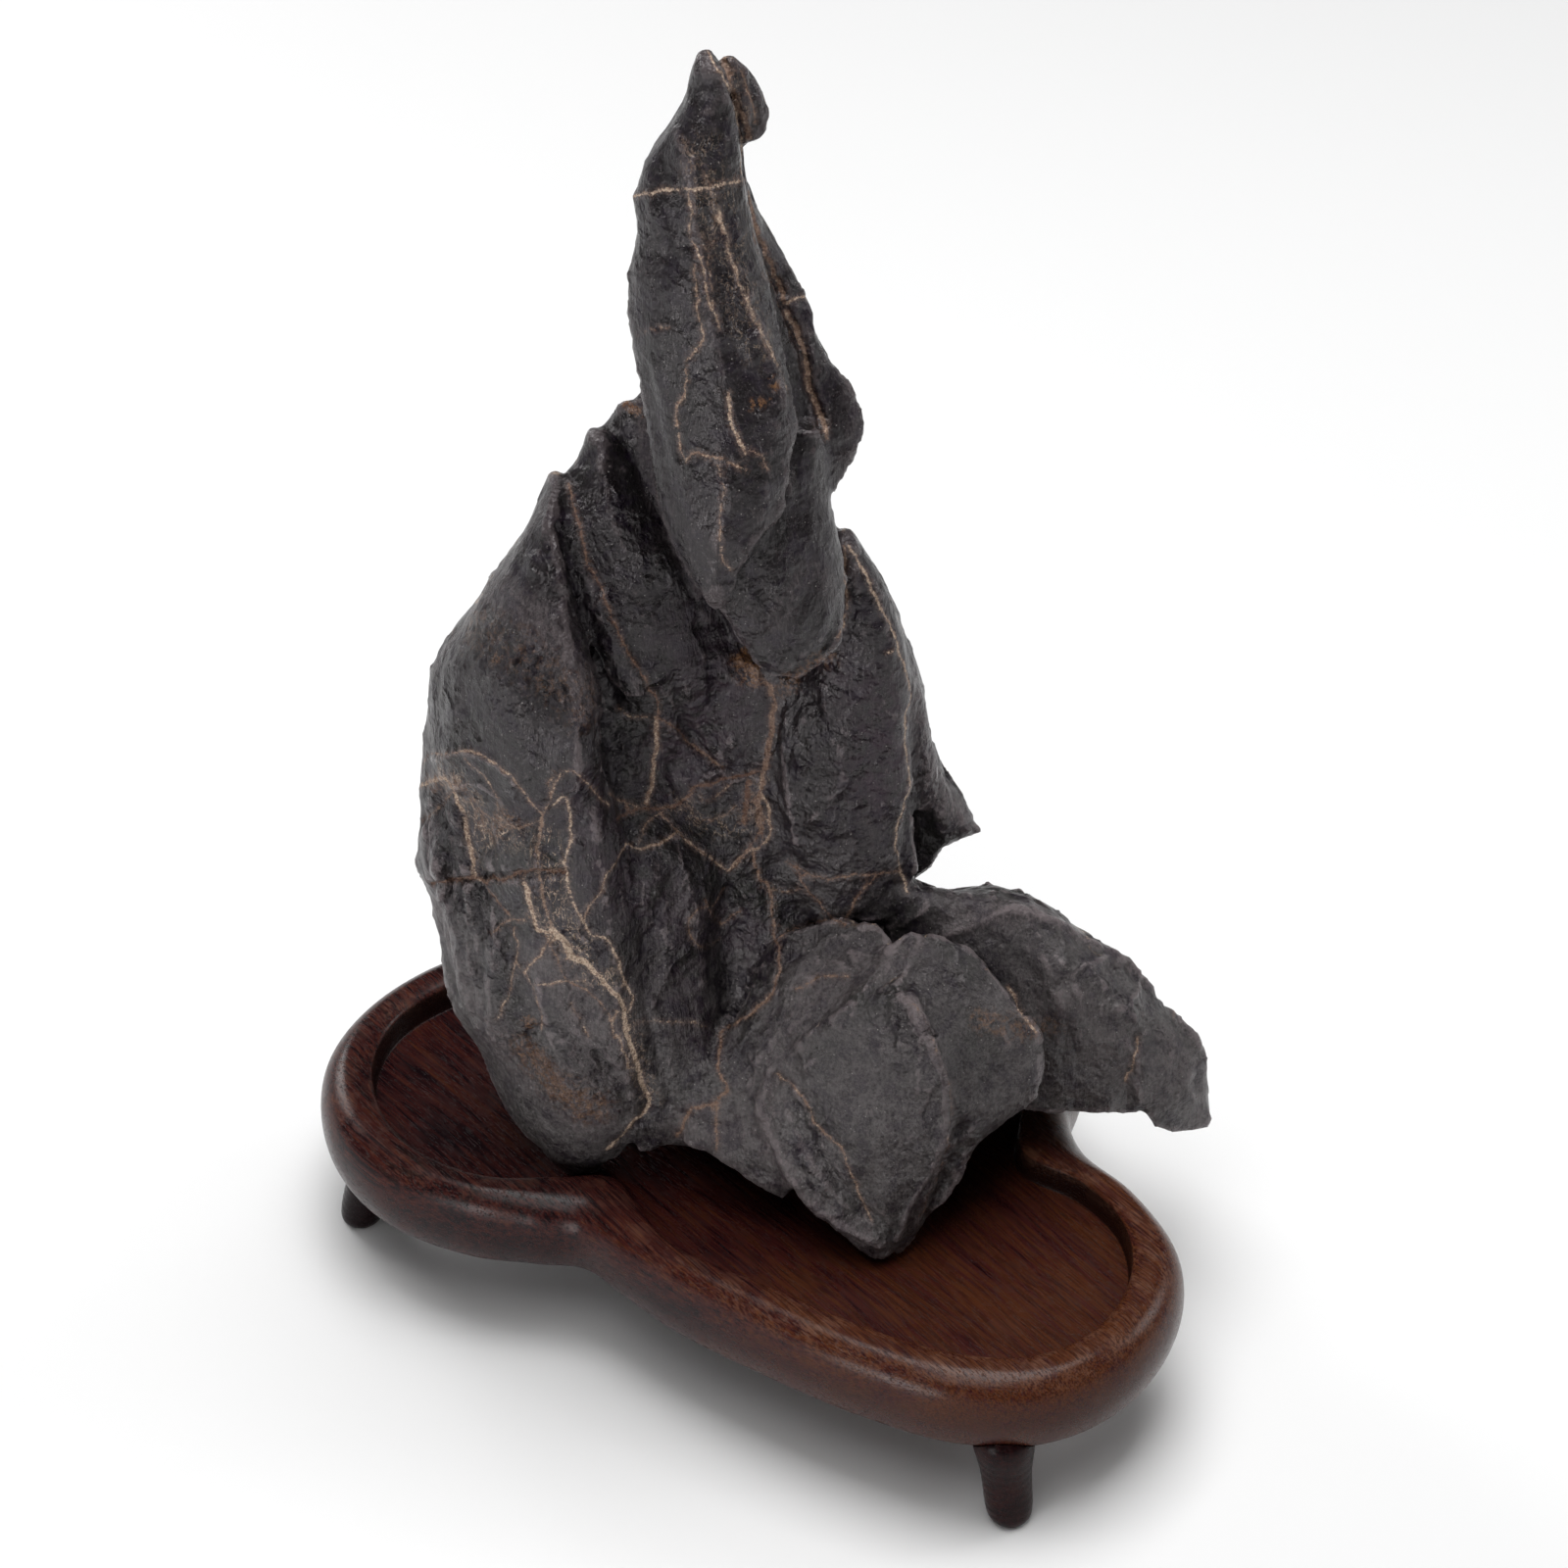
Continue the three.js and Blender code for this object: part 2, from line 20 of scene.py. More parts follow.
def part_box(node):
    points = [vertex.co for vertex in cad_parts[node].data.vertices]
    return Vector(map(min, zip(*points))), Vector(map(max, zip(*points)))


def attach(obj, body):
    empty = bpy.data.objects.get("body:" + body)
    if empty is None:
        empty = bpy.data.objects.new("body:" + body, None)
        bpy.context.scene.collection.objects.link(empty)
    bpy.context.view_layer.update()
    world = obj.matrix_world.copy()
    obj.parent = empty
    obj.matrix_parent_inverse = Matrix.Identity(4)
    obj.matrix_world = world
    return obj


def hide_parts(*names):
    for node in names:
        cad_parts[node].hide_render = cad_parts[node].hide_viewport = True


MM = 0.001
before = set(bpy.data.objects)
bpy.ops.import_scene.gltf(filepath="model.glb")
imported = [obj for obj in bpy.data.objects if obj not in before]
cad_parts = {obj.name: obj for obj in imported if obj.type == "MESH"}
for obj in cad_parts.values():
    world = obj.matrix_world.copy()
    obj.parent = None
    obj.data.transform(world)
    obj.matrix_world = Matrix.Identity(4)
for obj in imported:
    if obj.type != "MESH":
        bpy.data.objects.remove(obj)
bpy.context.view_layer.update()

# Viewing side
# The camera looks down on the stone from the tray's front right. A point of the picture is
# [across, down] on a square 1600 points wide.

PICTURE = 1600
VIEW_AZIMUTH = math.radians(30)
VIEW_ELEVATION = math.radians(37)
VIEW_DISTANCE = 1700.0
VIEW_WIDTH = 480.0
AIM = np.array([-23.4, 31.3, 150.0])

FORWARD = np.array([math.sin(VIEW_AZIMUTH), -math.cos(VIEW_AZIMUTH), 0.0])
ACROSS = np.array([math.cos(VIEW_AZIMUTH), math.sin(VIEW_AZIMUTH), 0.0])
BACK = FORWARD * math.cos(VIEW_ELEVATION) + np.array([0, 0, math.sin(VIEW_ELEVATION)])
UP = np.cross(BACK, ACROSS)
EYE = AIM + BACK * VIEW_DISTANCE


def add_camera():
    data = bpy.data.cameras.new("camera")
    data.lens = data.sensor_width * VIEW_DISTANCE / VIEW_WIDTH
    data.clip_end = 20
    camera = bpy.data.objects.new("camera", data)
    axes = Matrix((ACROSS, UP, BACK)).transposed().to_4x4()
    camera.matrix_world = Matrix.Translation(EYE * MM) @ axes
    bpy.context.scene.collection.objects.link(camera)
    bpy.context.scene.camera = camera


def sight_line(point):
    """The direction from the eye through a point of the picture."""
    step = VIEW_WIDTH / PICTURE
    across = (point[0] - PICTURE / 2) * step
    up = (PICTURE / 2 - point[1]) * step
    return Vector(ACROSS * across + UP * up - BACK * VIEW_DISTANCE).normalized()


# Noise, the same on every run


def lattice(cell, seed):
    """A number from 0 to 1 for each whole-number cell."""
    mixed = cell[:, 0] * 374761393 + cell[:, 1] * 668265263 + cell[:, 2] * 1440662683
    mixed = (mixed + seed * 1274126177) & 0xFFFFFFFF
    mixed = ((mixed ^ (mixed >> 13)) * 1274126177) & 0xFFFFFFFF
    mixed = ((mixed ^ (mixed >> 15)) * 2246822519) & 0xFFFFFFFF
    return (mixed ^ (mixed >> 16)) / 2**32


def smooth_noise(places, seed):
    """Noise from -1 to 1 with a period of about 1."""
    cell = np.floor(places).astype(np.int64)
    part = places - cell
    part = part * part * part * (part * (part * 6 - 15) + 10)
    total = np.zeros(len(places))
    for corner in product((0, 1), repeat=3):
        weight = np.prod(np.where(corner, part, 1 - part), axis=1)
        total += weight * lattice(cell + np.array(corner), seed)
    return total * 2 - 1


def rough_noise(places, seed, octaves):
    """Several sizes of noise on each other, from about -1 to 1."""
    total = np.zeros(len(places))
    for octave in range(octaves):
        total += smooth_noise(places * 2**octave, seed + octave) / 2**octave
    return total / 1.5


def lattice_point(cell, seed):
    """Three numbers from 0 to 1 for each whole-number cell."""
    return np.stack([lattice(cell, seed + axis) for axis in range(3)], axis=1)


def cells_about(places):
    """The cells in which a place's nearest point can be."""
    middle = np.floor(places).astype(np.int64)
    for corner in product((-1, 0, 1), repeat=3):
        yield middle + np.array(corner)


def cell_noise(places, seed):
    """The distance to the nearest of one random point in each cell."""
    nearest = np.full(len(places), math.inf)
    for cell in cells_about(places):
        gap = np.linalg.norm(cell + lattice_point(cell, seed) - places, axis=1)
        nearest = np.minimum(nearest, gap)
    return nearest


def flakes(places, seed):
    """Tilted facets with a small step between neighbours, from about -0.6 to 0.6."""
    nearest = np.full(len(places), math.inf)
    height = np.zeros(len(places))
    for cell in cells_about(places):
        slope = lattice_point(cell, seed + 5) * 2 - 1
        offset = places - cell - lattice_point(cell, seed)
        gap = np.linalg.norm(offset, axis=1)
        closer = gap < nearest
        nearest[closer] = gap[closer]
        height[closer] = np.sum(offset * slope, axis=1)[closer]
    return height


def ramp(value, low, high):
    """0 below low, 1 above high and smooth between."""
    part = np.clip((value - low) / (high - low), 0, 1)
    return part * part * (3 - 2 * part)


# Meshes as arrays of points and triangles


def arrays_from(mesh):
    mesh.calc_loop_triangles()
    points = np.empty(len(mesh.vertices) * 3)
    mesh.vertices.foreach_get("co", points)
    triangles = np.empty(len(mesh.loop_triangles) * 3, np.int32)
    mesh.loop_triangles.foreach_get("vertices", triangles)
    return points.reshape(-1, 3) / MM, triangles.reshape(-1, 3).astype(np.int64)


def mesh_from(name, points, triangles):
    mesh = bpy.data.meshes.new(name)
    mesh.vertices.add(len(points))
    mesh.vertices.foreach_set("co", (points * MM).ravel())
    mesh.loops.add(len(triangles) * 3)
    mesh.loops.foreach_set("vertex_index", triangles.ravel())
    mesh.polygons.add(len(triangles))
    mesh.polygons.foreach_set("loop_start", np.arange(0, len(triangles) * 3, 3))
    mesh.update(calc_edges=True)
    mesh.shade_smooth()
    return mesh


def object_from(name, mesh):
    made = bpy.data.objects.new(name, mesh)
    bpy.context.scene.collection.objects.link(made)
    return made


def with_modifier(mesh, kind, **settings):
    """The mesh's points and triangles after one modifier."""
    carrier = object_from("carrier", mesh)
    modifier = carrier.modifiers.new(kind, kind)
    for name, value in settings.items():
        setattr(modifier, name, value)
    result = carrier.evaluated_get(bpy.context.evaluated_depsgraph_get()).to_mesh()
    arrays = arrays_from(result)
    carrier.to_mesh_clear()
    bpy.data.objects.remove(carrier)
    return arrays


def edges_of(triangles, count):
    """Each edge's two ends, and which edges each triangle has."""
    pairs = np.sort(triangles[:, [[0, 1], [1, 2], [2, 0]]].reshape(-1, 2), axis=1)
    keys, places = np.unique(pairs[:, 0] * count + pairs[:, 1], return_inverse=True)
    return np.stack([keys // count, keys % count], axis=1), places.reshape(-1, 3)


def normals_of(points, triangles):
    a, b, c = (points[triangles[:, corner]] for corner in range(3))
    faces = np.cross(b - a, c - a)
    normals = np.zeros_like(points)
    for axis in range(3):
        for corner in range(3):
            normals[:, axis] += np.bincount(
                triangles[:, corner], faces[:, axis], minlength=len(points)
            )
    return normals / np.maximum(np.linalg.norm(normals, axis=1, keepdims=True), 1e-12)


def neighbour_mean(values, edges):
    """The mean of each point's neighbours."""
    count = len(values)
    first, second = edges[:, 0], edges[:, 1]
    share = np.bincount(first, minlength=count) + np.bincount(second, minlength=count)
    columns = values.reshape(count, -1)
    mean = np.empty_like(columns)
    for axis in range(columns.shape[1]):
        column = columns[:, axis]
        mean[:, axis] = np.bincount(first, column[second], minlength=count)
        mean[:, axis] += np.bincount(second, column[first], minlength=count)
    return (mean / share[:, None]).reshape(values.shape)


def split_long_edges(points, triangles, longest):
    """Halves each edge that is longer than the length given for its middle."""
    edges, sides = edges_of(triangles, len(points))
    middles = points[edges].mean(axis=1)
    lengths = np.linalg.norm(points[edges[:, 0]] - points[edges[:, 1]], axis=1)
    long = lengths > longest(middles)
    fresh = np.full(len(edges), -1)
    fresh[long] = len(points) + np.arange(long.sum())
    halves = fresh[sides]
    pattern = (halves >= 0) @ np.array([1, 2, 4])
    pieces = [triangles[pattern == 0]]
    for turn in range(3):
        corners = np.roll(triangles, -turn, axis=1)
        mids = np.roll(halves, -turn, axis=1)
        a, b, c = corners.T
        ab, bc = mids[:, 0], mids[:, 1]
        one = pattern == (1, 2, 4)[turn]
        pieces.append(np.stack([a, ab, c], axis=1)[one])
        pieces.append(np.stack([ab, b, c], axis=1)[one])
        two = pattern == (3, 6, 5)[turn]
        pieces.append(np.stack([ab, b, bc], axis=1)[two])
        pieces.append(np.stack([a, ab, bc], axis=1)[two])
        pieces.append(np.stack([a, bc, c], axis=1)[two])
    every = pattern == 7
    (a, b, c), (ab, bc, ca) = triangles[every].T, halves[every].T
    for corners in ((a, ab, ca), (ab, b, bc), (ca, bc, c), (ab, bc, ca)):
        pieces.append(np.stack(corners, axis=1))
    return np.concatenate([points, middles[long]]), np.concatenate(pieces)


def nearest_of(spots, places):
    """For each place, the nearest spot's number and distance."""
    tree = KDTree(len(spots))
    for number, spot in enumerate(spots):
        tree.insert(spot, number)
    tree.balance()
    found = [tree.find(place)[1:] for place in places]
    return np.array([number for number, _ in found]), np.array([gap for _, gap in found])


# Lines drawn on the stone's seen side

# Mineral veins: half width in mm, tone from 0 (cream) to 1 (rust brown), strength, and points
VEINS = [
    (0.45, 0.1, 1.0, [(644, 201), (664, 197), (672, 194), (695, 193), (713, 193), (733, 189),
        (760, 184)]),
    (0.35, 0.2, 1.0, [(722, 52), (728, 63), (738, 79), (746, 96), (751, 119), (755, 140),
        (757, 168), (759, 183)]),
    (0.3, 0.6, 0.6, [(760, 186), (762, 203), (769, 234), (774, 260), (784, 290)]),
    (0.7, 0.5, 1.0, [(764, 196), (771, 229), (781, 254), (792, 283), (801, 308)]),
    (0.8, 0.4, 1.0, [(802, 318), (810, 331), (817, 351), (822, 372), (825, 389), (833, 414),
        (841, 432), (844, 447)]),
    (0.4, 0.2, 1.0, [(802, 311), (810, 305), (824, 304), (826, 300)]),
    (0.22, 0.35, 0.7, [(723, 185), (727, 212), (738, 239), (747, 267), (755, 294), (766, 322),
        (777, 344), (788, 366)]),
    (0.2, 0.4, 0.55, [(731, 200), (730, 222), (729, 245)]),
    (0.22, 0.35, 0.55, [(716, 240), (722, 261), (725, 289), (730, 316), (735, 333)]),
    (0.2, 0.5, 0.5, [(651, 338), (664, 336), (682, 334)]),
    (0.2, 0.4, 0.5, [(696, 142), (706, 156), (718, 168), (723, 184)]),
    (0.9, 0.5, 0.9, [(739, 58), (743, 73), (747, 91), (752, 109), (759, 122), (764, 135),
        (766, 141)]),
    (0.4, 0.5, 0.8, [(756, 73), (764, 96), (769, 114), (771, 124)]),
    (0.35, 0.2, 0.8, [(702, 198), (705, 214), (704, 239), (713, 260), (718, 275), (720, 290),
        (723, 305), (730, 323), (736, 336)]),
    (0.4, 0.3, 1.0, [(708, 270), (710, 300), (715, 331), (718, 344), (705, 362), (699, 372),
        (700, 390), (698, 404), (691, 417), (691, 437), (694, 458), (699, 469)]),
    (0.35, 0.4, 0.9, [(699, 469), (705, 463), (723, 465), (739, 469), (746, 475), (764, 479)]),
    (0.3, 0.3, 0.6, [(731, 475), (739, 493), (736, 519), (735, 547), (736, 567), (746, 583)]),
    (0.6, 0.1, 0.5, [(730, 203), (738, 234), (748, 270), (759, 300), (769, 326), (784, 351),
        (797, 382), (804, 400)]),
    (0.5, 0.2, 0.8, [(744, 401), (746, 432), (754, 447), (759, 463)]),
    (0.3, 0.4, 0.7, [(767, 460), (779, 468), (784, 480)]),
    (0.35, 0.2, 0.5, [(649, 342), (664, 335), (682, 334)]),
    (0.4, 0.4, 0.8, [(861, 557), (862, 585), (864, 605), (861, 631), (855, 649)]),
    (0.45, 0.1, 1.0, [(865, 557), (876, 575), (892, 605), (903, 628), (915, 654), (918, 666),
        (924, 682), (928, 702), (927, 717), (923, 735), (924, 758), (927, 773), (928, 804),
        (922, 822), (914, 855), (917, 883), (922, 898), (927, 911)]),
    (0.35, 0.2, 0.9, [(906, 665), (917, 663)]),
    (0.35, 0.8, 0.9, [(580, 493), (585, 514), (593, 544), (601, 577), (614, 603), (626, 636),
        (642, 667), (657, 692), (670, 715), (672, 728)]),
    (0.9, 0.6, 0.9, [(782, 697), (789, 714), (788, 743), (782, 773), (776, 804), (774, 830),
        (776, 850)]),
    (0.5, 0.7, 0.7, [(776, 850), (766, 863), (746, 888)]),
    (0.35, 0.3, 0.9, [(428, 784), (438, 771), (461, 769), (482, 767), (502, 776), (522, 794),
        (538, 815), (553, 833)]),
    (0.8, 0.2, 0.7, [(428, 802), (451, 794), (461, 802), (469, 820), (474, 838), (479, 858),
        (483, 876), (485, 894), (490, 898)]),
    (0.3, 0.4, 0.8, [(431, 838), (446, 825), (461, 810)]),
    (0.55, 0.8, 1.0, [(441, 903), (461, 899), (487, 896), (496, 901), (501, 895), (512, 898),
        (527, 892), (543, 887), (558, 889), (576, 890)]),
    (0.35, 0.7, 0.8, [(496, 901), (505, 917), (519, 932)]),
    (0.35, 0.3, 0.9, [(553, 833), (563, 812), (573, 789), (584, 788), (596, 797), (609, 810),
        (622, 822)]),
    (0.3, 0.4, 0.7, [(563, 812), (561, 797), (566, 787)]),
    (0.5, 0.4, 0.7, [(553, 833), (550, 853), (548, 884), (552, 904), (556, 924), (563, 945)]),
    (0.45, 0.1, 1.0, [(563, 822), (576, 813), (582, 828), (582, 858), (577, 879), (579, 899),
        (586, 922), (596, 942), (604, 953), (617, 958), (630, 978), (637, 1001), (645, 1016),
        (642, 1032)]),
    (0.35, 0.3, 0.9, [(596, 942), (601, 924), (614, 910), (617, 899), (630, 876), (638, 861)]),
    (0.45, 0.3, 1.0, [(638, 861), (650, 866), (670, 863), (691, 849), (706, 863), (724, 876),
        (742, 890)]),
    (0.5, 0.3, 1.0, [(742, 890), (757, 873), (770, 866), (783, 859), (786, 843), (783, 822),
        (775, 802), (780, 787)]),
    (0.5, 0.9, 0.9, [(780, 787), (757, 791), (732, 797), (709, 805), (693, 820), (670, 826),
        (650, 826), (630, 835)]),
    (0.4, 0.5, 0.8, [(622, 810), (640, 820), (655, 826)]),
    (0.8, 0.3, 0.9, [(669, 731), (670, 756), (667, 782), (665, 802), (660, 820)]),
    (0.4, 0.7, 0.9, [(669, 731), (686, 741), (701, 755), (719, 770), (737, 783)]),
    (0.35, 0.3, 0.8, [(632, 724), (645, 732), (660, 731)]),
    (0.8, 0.9, 0.9, [(763, 797), (761, 822), (757, 840)]),
    (0.35, 0.5, 0.7, [(691, 849), (675, 830)]),
    (0.55, 0.6, 1.0, [(769, 871), (775, 896), (785, 907), (788, 930), (790, 955), (795, 975),
        (790, 1008), (770, 1031), (752, 1044), (737, 1052), (734, 1070), (734, 1093), (743, 1112),
        (727, 1125), (705, 1132), (700, 1141), (691, 1160)]),
    (0.4, 0.5, 0.8, [(732, 1125), (730, 1154), (730, 1173)]),
    (0.35, 0.6, 0.9, [(719, 919), (729, 936), (738, 942), (747, 933), (755, 930)]),
    (0.8, 0.1, 1.0, [(535, 901), (543, 930), (548, 947), (563, 952)]),
    (1.3, 0.0, 1.0, [(563, 948), (573, 958), (584, 975), (599, 983)]),
    (0.9, 0.05, 1.0, [(599, 983), (609, 996), (622, 1009), (637, 1029), (638, 1044), (643, 1065),
        (651, 1088), (655, 1106)]),
    (0.8, 0.1, 0.9, [(655, 1106), (662, 1122), (657, 1135), (648, 1144), (632, 1160), (619, 1173)]),
    (0.4, 0.2, 0.8, [(630, 1032), (624, 1044), (635, 1067), (642, 1090)]),
    (0.35, 0.5, 0.8, [(502, 953), (515, 942), (540, 937)]),
    (0.4, 0.3, 0.8, [(563, 953), (553, 973), (538, 986), (535, 993)]),
    (0.35, 0.3, 0.7, [(525, 945), (528, 975), (522, 1001), (515, 1024), (507, 1042)]),
    (0.3, 0.3, 0.7, [(528, 981), (538, 998), (548, 1019), (553, 1037), (553, 1052)]),
    (0.3, 0.2, 0.8, [(544, 1005), (558, 1005), (576, 1001), (599, 1001)]),
    (0.3, 0.3, 0.5, [(584, 1024), (591, 1039), (600, 1057)]),
    (0.3, 0.2, 0.6, [(647, 1044), (681, 1042), (706, 1043), (721, 1049)]),
    (0.4, 0.6, 0.9, [(917, 888), (894, 892), (873, 893), (843, 897), (812, 884)]),
    (0.4, 0.7, 0.8, [(802, 879), (812, 888), (822, 906), (838, 924), (848, 937), (863, 943)]),
    (0.4, 0.7, 0.8, [(863, 943), (868, 929), (879, 911), (894, 893)]),
    (0.3, 0.4, 0.6, [(776, 904), (794, 909), (822, 907)]),
    (0.35, 0.6, 0.7, [(794, 956), (815, 947), (843, 939)]),
    (0.4, 0.4, 0.9, [(792, 1095), (807, 1106), (822, 1125), (834, 1148), (857, 1171), (868, 1198),
        (880, 1225), (889, 1244)]),
    (0.3, 0.5, 0.45, [(926, 1018), (945, 1041), (956, 1072), (968, 1103), (970, 1141), (964, 1179),
        (949, 1217), (937, 1248)]),
    (0.35, 0.3, 0.9, [(1161, 1058), (1157, 1080), (1148, 1104)]),
    (0.3, 0.4, 0.8, [(556, 952), (566, 976), (580, 1000), (600, 1012), (618, 1030), (628, 1060)]),
    (0.3, 0.3, 0.7, [(474, 774), (492, 790), (506, 812), (512, 836), (530, 848)]),
    (0.3, 0.4, 0.7, [(462, 800), (480, 812), (500, 836), (522, 846), (544, 840)]),
    (0.3, 0.5, 0.7, [(738, 908), (726, 924), (712, 928), (702, 948), (716, 966), (734, 958)]),
    (0.3, 0.5, 0.6, [(700, 820), (716, 838), (736, 834), (752, 822)]),
    (0.3, 0.4, 0.7, [(650, 866), (660, 840), (680, 826), (704, 812), (726, 816), (744, 800)]),
    (0.3, 0.5, 0.7, [(812, 1010), (838, 996), (866, 998)]),
    (0.45, 0.3, 0.9, [(1029, 1007), (1044, 1034), (1056, 1053)]),
]

# Creases (positive depth) and ridges (negative), with half width, both in mm
CREASES = [
    (2.2, 1.6, [(738, 62), (744, 84), (752, 112), (758, 140), (760, 184)]),
    (2.4, 1.5, [(766, 202), (772, 229), (782, 256), (793, 284), (802, 312), (812, 335), (820, 362),
        (826, 392), (836, 420), (846, 448)]),
    (1.0, 1.2, [(764, 70), (768, 96), (772, 124)]),
    (-0.8, 2.2, [(689, 132), (700, 160), (706, 190), (712, 240), (722, 300), (730, 350)]),
    (1.2, 4.0, [(672, 168), (678, 210), (684, 260)]),
    (-1.0, 2.5, [(727, 196), (740, 240), (754, 290), (772, 330), (790, 372), (800, 410)]),
    (0.8, 3.0, [(742, 330), (756, 380), (766, 430), (776, 470)]),
    (0.8, 2.5, [(660, 380), (668, 430), (678, 480), (694, 530)]),
    (-0.9, 1.8, [(798, 470), (804, 500), (790, 530), (766, 552), (752, 580), (740, 612)]),
    (1.6, 5.0, [(775, 600), (792, 640), (806, 664)]),
    (-0.9, 2.0, [(858, 560), (862, 600), (858, 640), (848, 668)]),
    (-1.0, 5.0, [(499, 595), (537, 624), (578, 665), (611, 707)]),
    (0.8, 4.0, [(470, 640), (510, 672), (556, 716), (596, 752)]),
    (1.5, 1.8, [(570, 537), (595, 615), (615, 686), (632, 723)]),
    (-0.9, 2.0, [(715, 649), (721, 715), (748, 760)]),
    (1.8, 2.0, [(690, 690), (700, 740), (716, 768), (742, 784), (776, 786)]),
    (-0.8, 1.6, [(690, 794), (730, 790), (773, 782)]),
    (1.4, 3.5, [(628, 740), (634, 780), (640, 812)]),
    (1.2, 2.0, [(648, 660), (660, 700), (684, 730), (706, 752)]),
    (-0.8, 1.8, [(852, 756), (858, 798), (831, 835)]),
    (1.3, 6.0, [(831, 723), (836, 740)]),
    (1.3, 6.0, [(838, 800), (850, 822)]),
    (1.2, 5.0, [(884, 700), (888, 760), (884, 820)]),
    (-0.9, 1.6, [(808, 700), (802, 760), (806, 820), (812, 860)]),
    (0.9, 2.0, [(798, 959), (832, 952), (868, 943), (900, 920), (918, 889)]),
    (1.2, 1.2, [(441, 903), (487, 896), (527, 892), (576, 890)]),
    (1.1, 1.6, [(461, 802), (474, 838), (483, 876), (490, 898)]),
    (0.9, 1.5, [(431, 838), (446, 825), (461, 810)]),
    (-0.8, 2.0, [(448, 840), (452, 866), (448, 886)]),
    (1.1, 1.6, [(487, 905), (486, 936), (482, 968), (488, 1000)]),
    (1.0, 1.6, [(500, 850), (506, 874), (508, 892)]),
    (-0.8, 1.8, [(462, 915), (466, 950), (470, 990), (480, 1030)]),
    (0.9, 1.8, [(454, 930), (458, 970), (464, 1010)]),
    (-0.8, 1.8, [(505, 925), (508, 970), (503, 1010), (500, 1050)]),
    (1.0, 1.8, [(521, 950), (522, 990), (514, 1024)]),
    (1.2, 3.0, [(586, 1000), (600, 1040), (614, 1090), (624, 1130)]),
    (0.9, 1.4, [(656, 1000), (664, 1044), (676, 1090), (684, 1130)]),
    (1.4, 3.0, [(640, 880), (650, 930), (664, 980), (680, 1030)]),
    (-1.0, 2.5, [(690, 856), (700, 900), (712, 950), (716, 1000)]),
    (2.0, 4.0, [(744, 911), (746, 960), (744, 1028), (732, 1059)]),
    (1.4, 1.8, [(769, 1114), (793, 1071), (855, 1022), (910, 997), (928, 954)]),
    (-0.9, 2.2, [(793, 1010), (850, 990), (905, 968)]),
    (1.0, 2.5, [(800, 980), (850, 964), (890, 958)]),
    (1.0, 1.5, [(701, 1139), (724, 1150), (764, 1146)]),
    (-2.2, 2.2, [(786, 1094), (777, 1123), (787, 1156), (804, 1195), (830, 1227), (868, 1253),
        (897, 1266)]),
    (1.6, 1.6, [(792, 1098), (800, 1112), (822, 1160), (846, 1200), (876, 1234), (896, 1244)]),
    (1.5, 6.0, [(820, 1130), (840, 1170), (866, 1206)]),
    (-1.1, 1.3, [(920, 1016), (943, 1052), (962, 1097), (965, 1143), (952, 1188), (933, 1221),
        (914, 1262)]),
    (0.9, 3.5, [(900, 1180), (884, 1216), (874, 1240)]),
    (1.6, 8.0, [(910, 1110), (920, 1140)]),
    (1.4, 8.0, [(1000, 1080), (1008, 1092)]),
    (-1.4, 1.8, [(965, 954), (1039, 930), (1100, 954), (1162, 997), (1223, 1065)]),
    (1.8, 5.5, [(1116, 1000), (1131, 1004), (1146, 1010)]),
    (1.2, 1.8, [(1161, 1058), (1157, 1080), (1148, 1104), (1150, 1130)]),
    (2.2, 2.2, [(984, 1150), (971, 1190), (955, 1228), (941, 1258)]),
    (-0.9, 1.8, [(779, 1080), (816, 1045), (855, 1020), (898, 1006)]),
    (-1.2, 1.5, [(1102, 1014), (1095, 998), (1108, 985), (1141, 978), (1161, 1004), (1155, 1024)]),
    (3.0, 2.2, [(722, 618), (736, 640), (750, 660), (768, 676)]),
    (4.5, 4.5, [(732, 646), (744, 664), (756, 676)]),
    (1.2, 2.0, [(768, 682), (800, 690), (828, 676), (848, 652)]),
    (1.0, 1.5, [(700, 590), (716, 612), (730, 634)]),
    (-0.8, 1.4, [(443, 775), (470, 768), (500, 776), (526, 800)]),
    (0.9, 1.6, [(452, 800), (446, 820), (452, 842)]),
    (-0.9, 1.5, [(462, 806), (486, 800), (510, 816), (520, 840)]),
    (1.0, 1.6, [(448, 930), (454, 980), (468, 1020)]),
    (-0.8, 1.6, [(548, 1000), (556, 1040), (566, 1070)]),
    (1.0, 1.4, [(520, 1062), (556, 1050), (600, 1072), (632, 1110), (640, 1140)]),
    (1.1, 1.5, [(655, 1100), (664, 1124), (656, 1142), (634, 1164)]),
    (1.1, 2.2, [(1098, 960), (1128, 952), (1160, 978)]),
    (0.9, 2.5, [(1010, 960), (1046, 990), (1060, 1030), (1060, 1070)]),
    (-0.8, 2.0, [(1064, 980), (1082, 1020), (1080, 1064)]),
    (1.0, 2.0, [(740, 1070), (764, 1090), (776, 1110)]),
    (-0.9, 2.0, [(842, 960), (880, 948), (925, 940), (944, 926)]),
    (1.0, 1.6, [(862, 1040), (884, 1060), (910, 1062)]),
    (1.0, 3.0, [(990, 940), (1030, 965), (1060, 1000)]),
    (0.9, 5.0, [(1080, 1060), (1110, 1090)]),
]

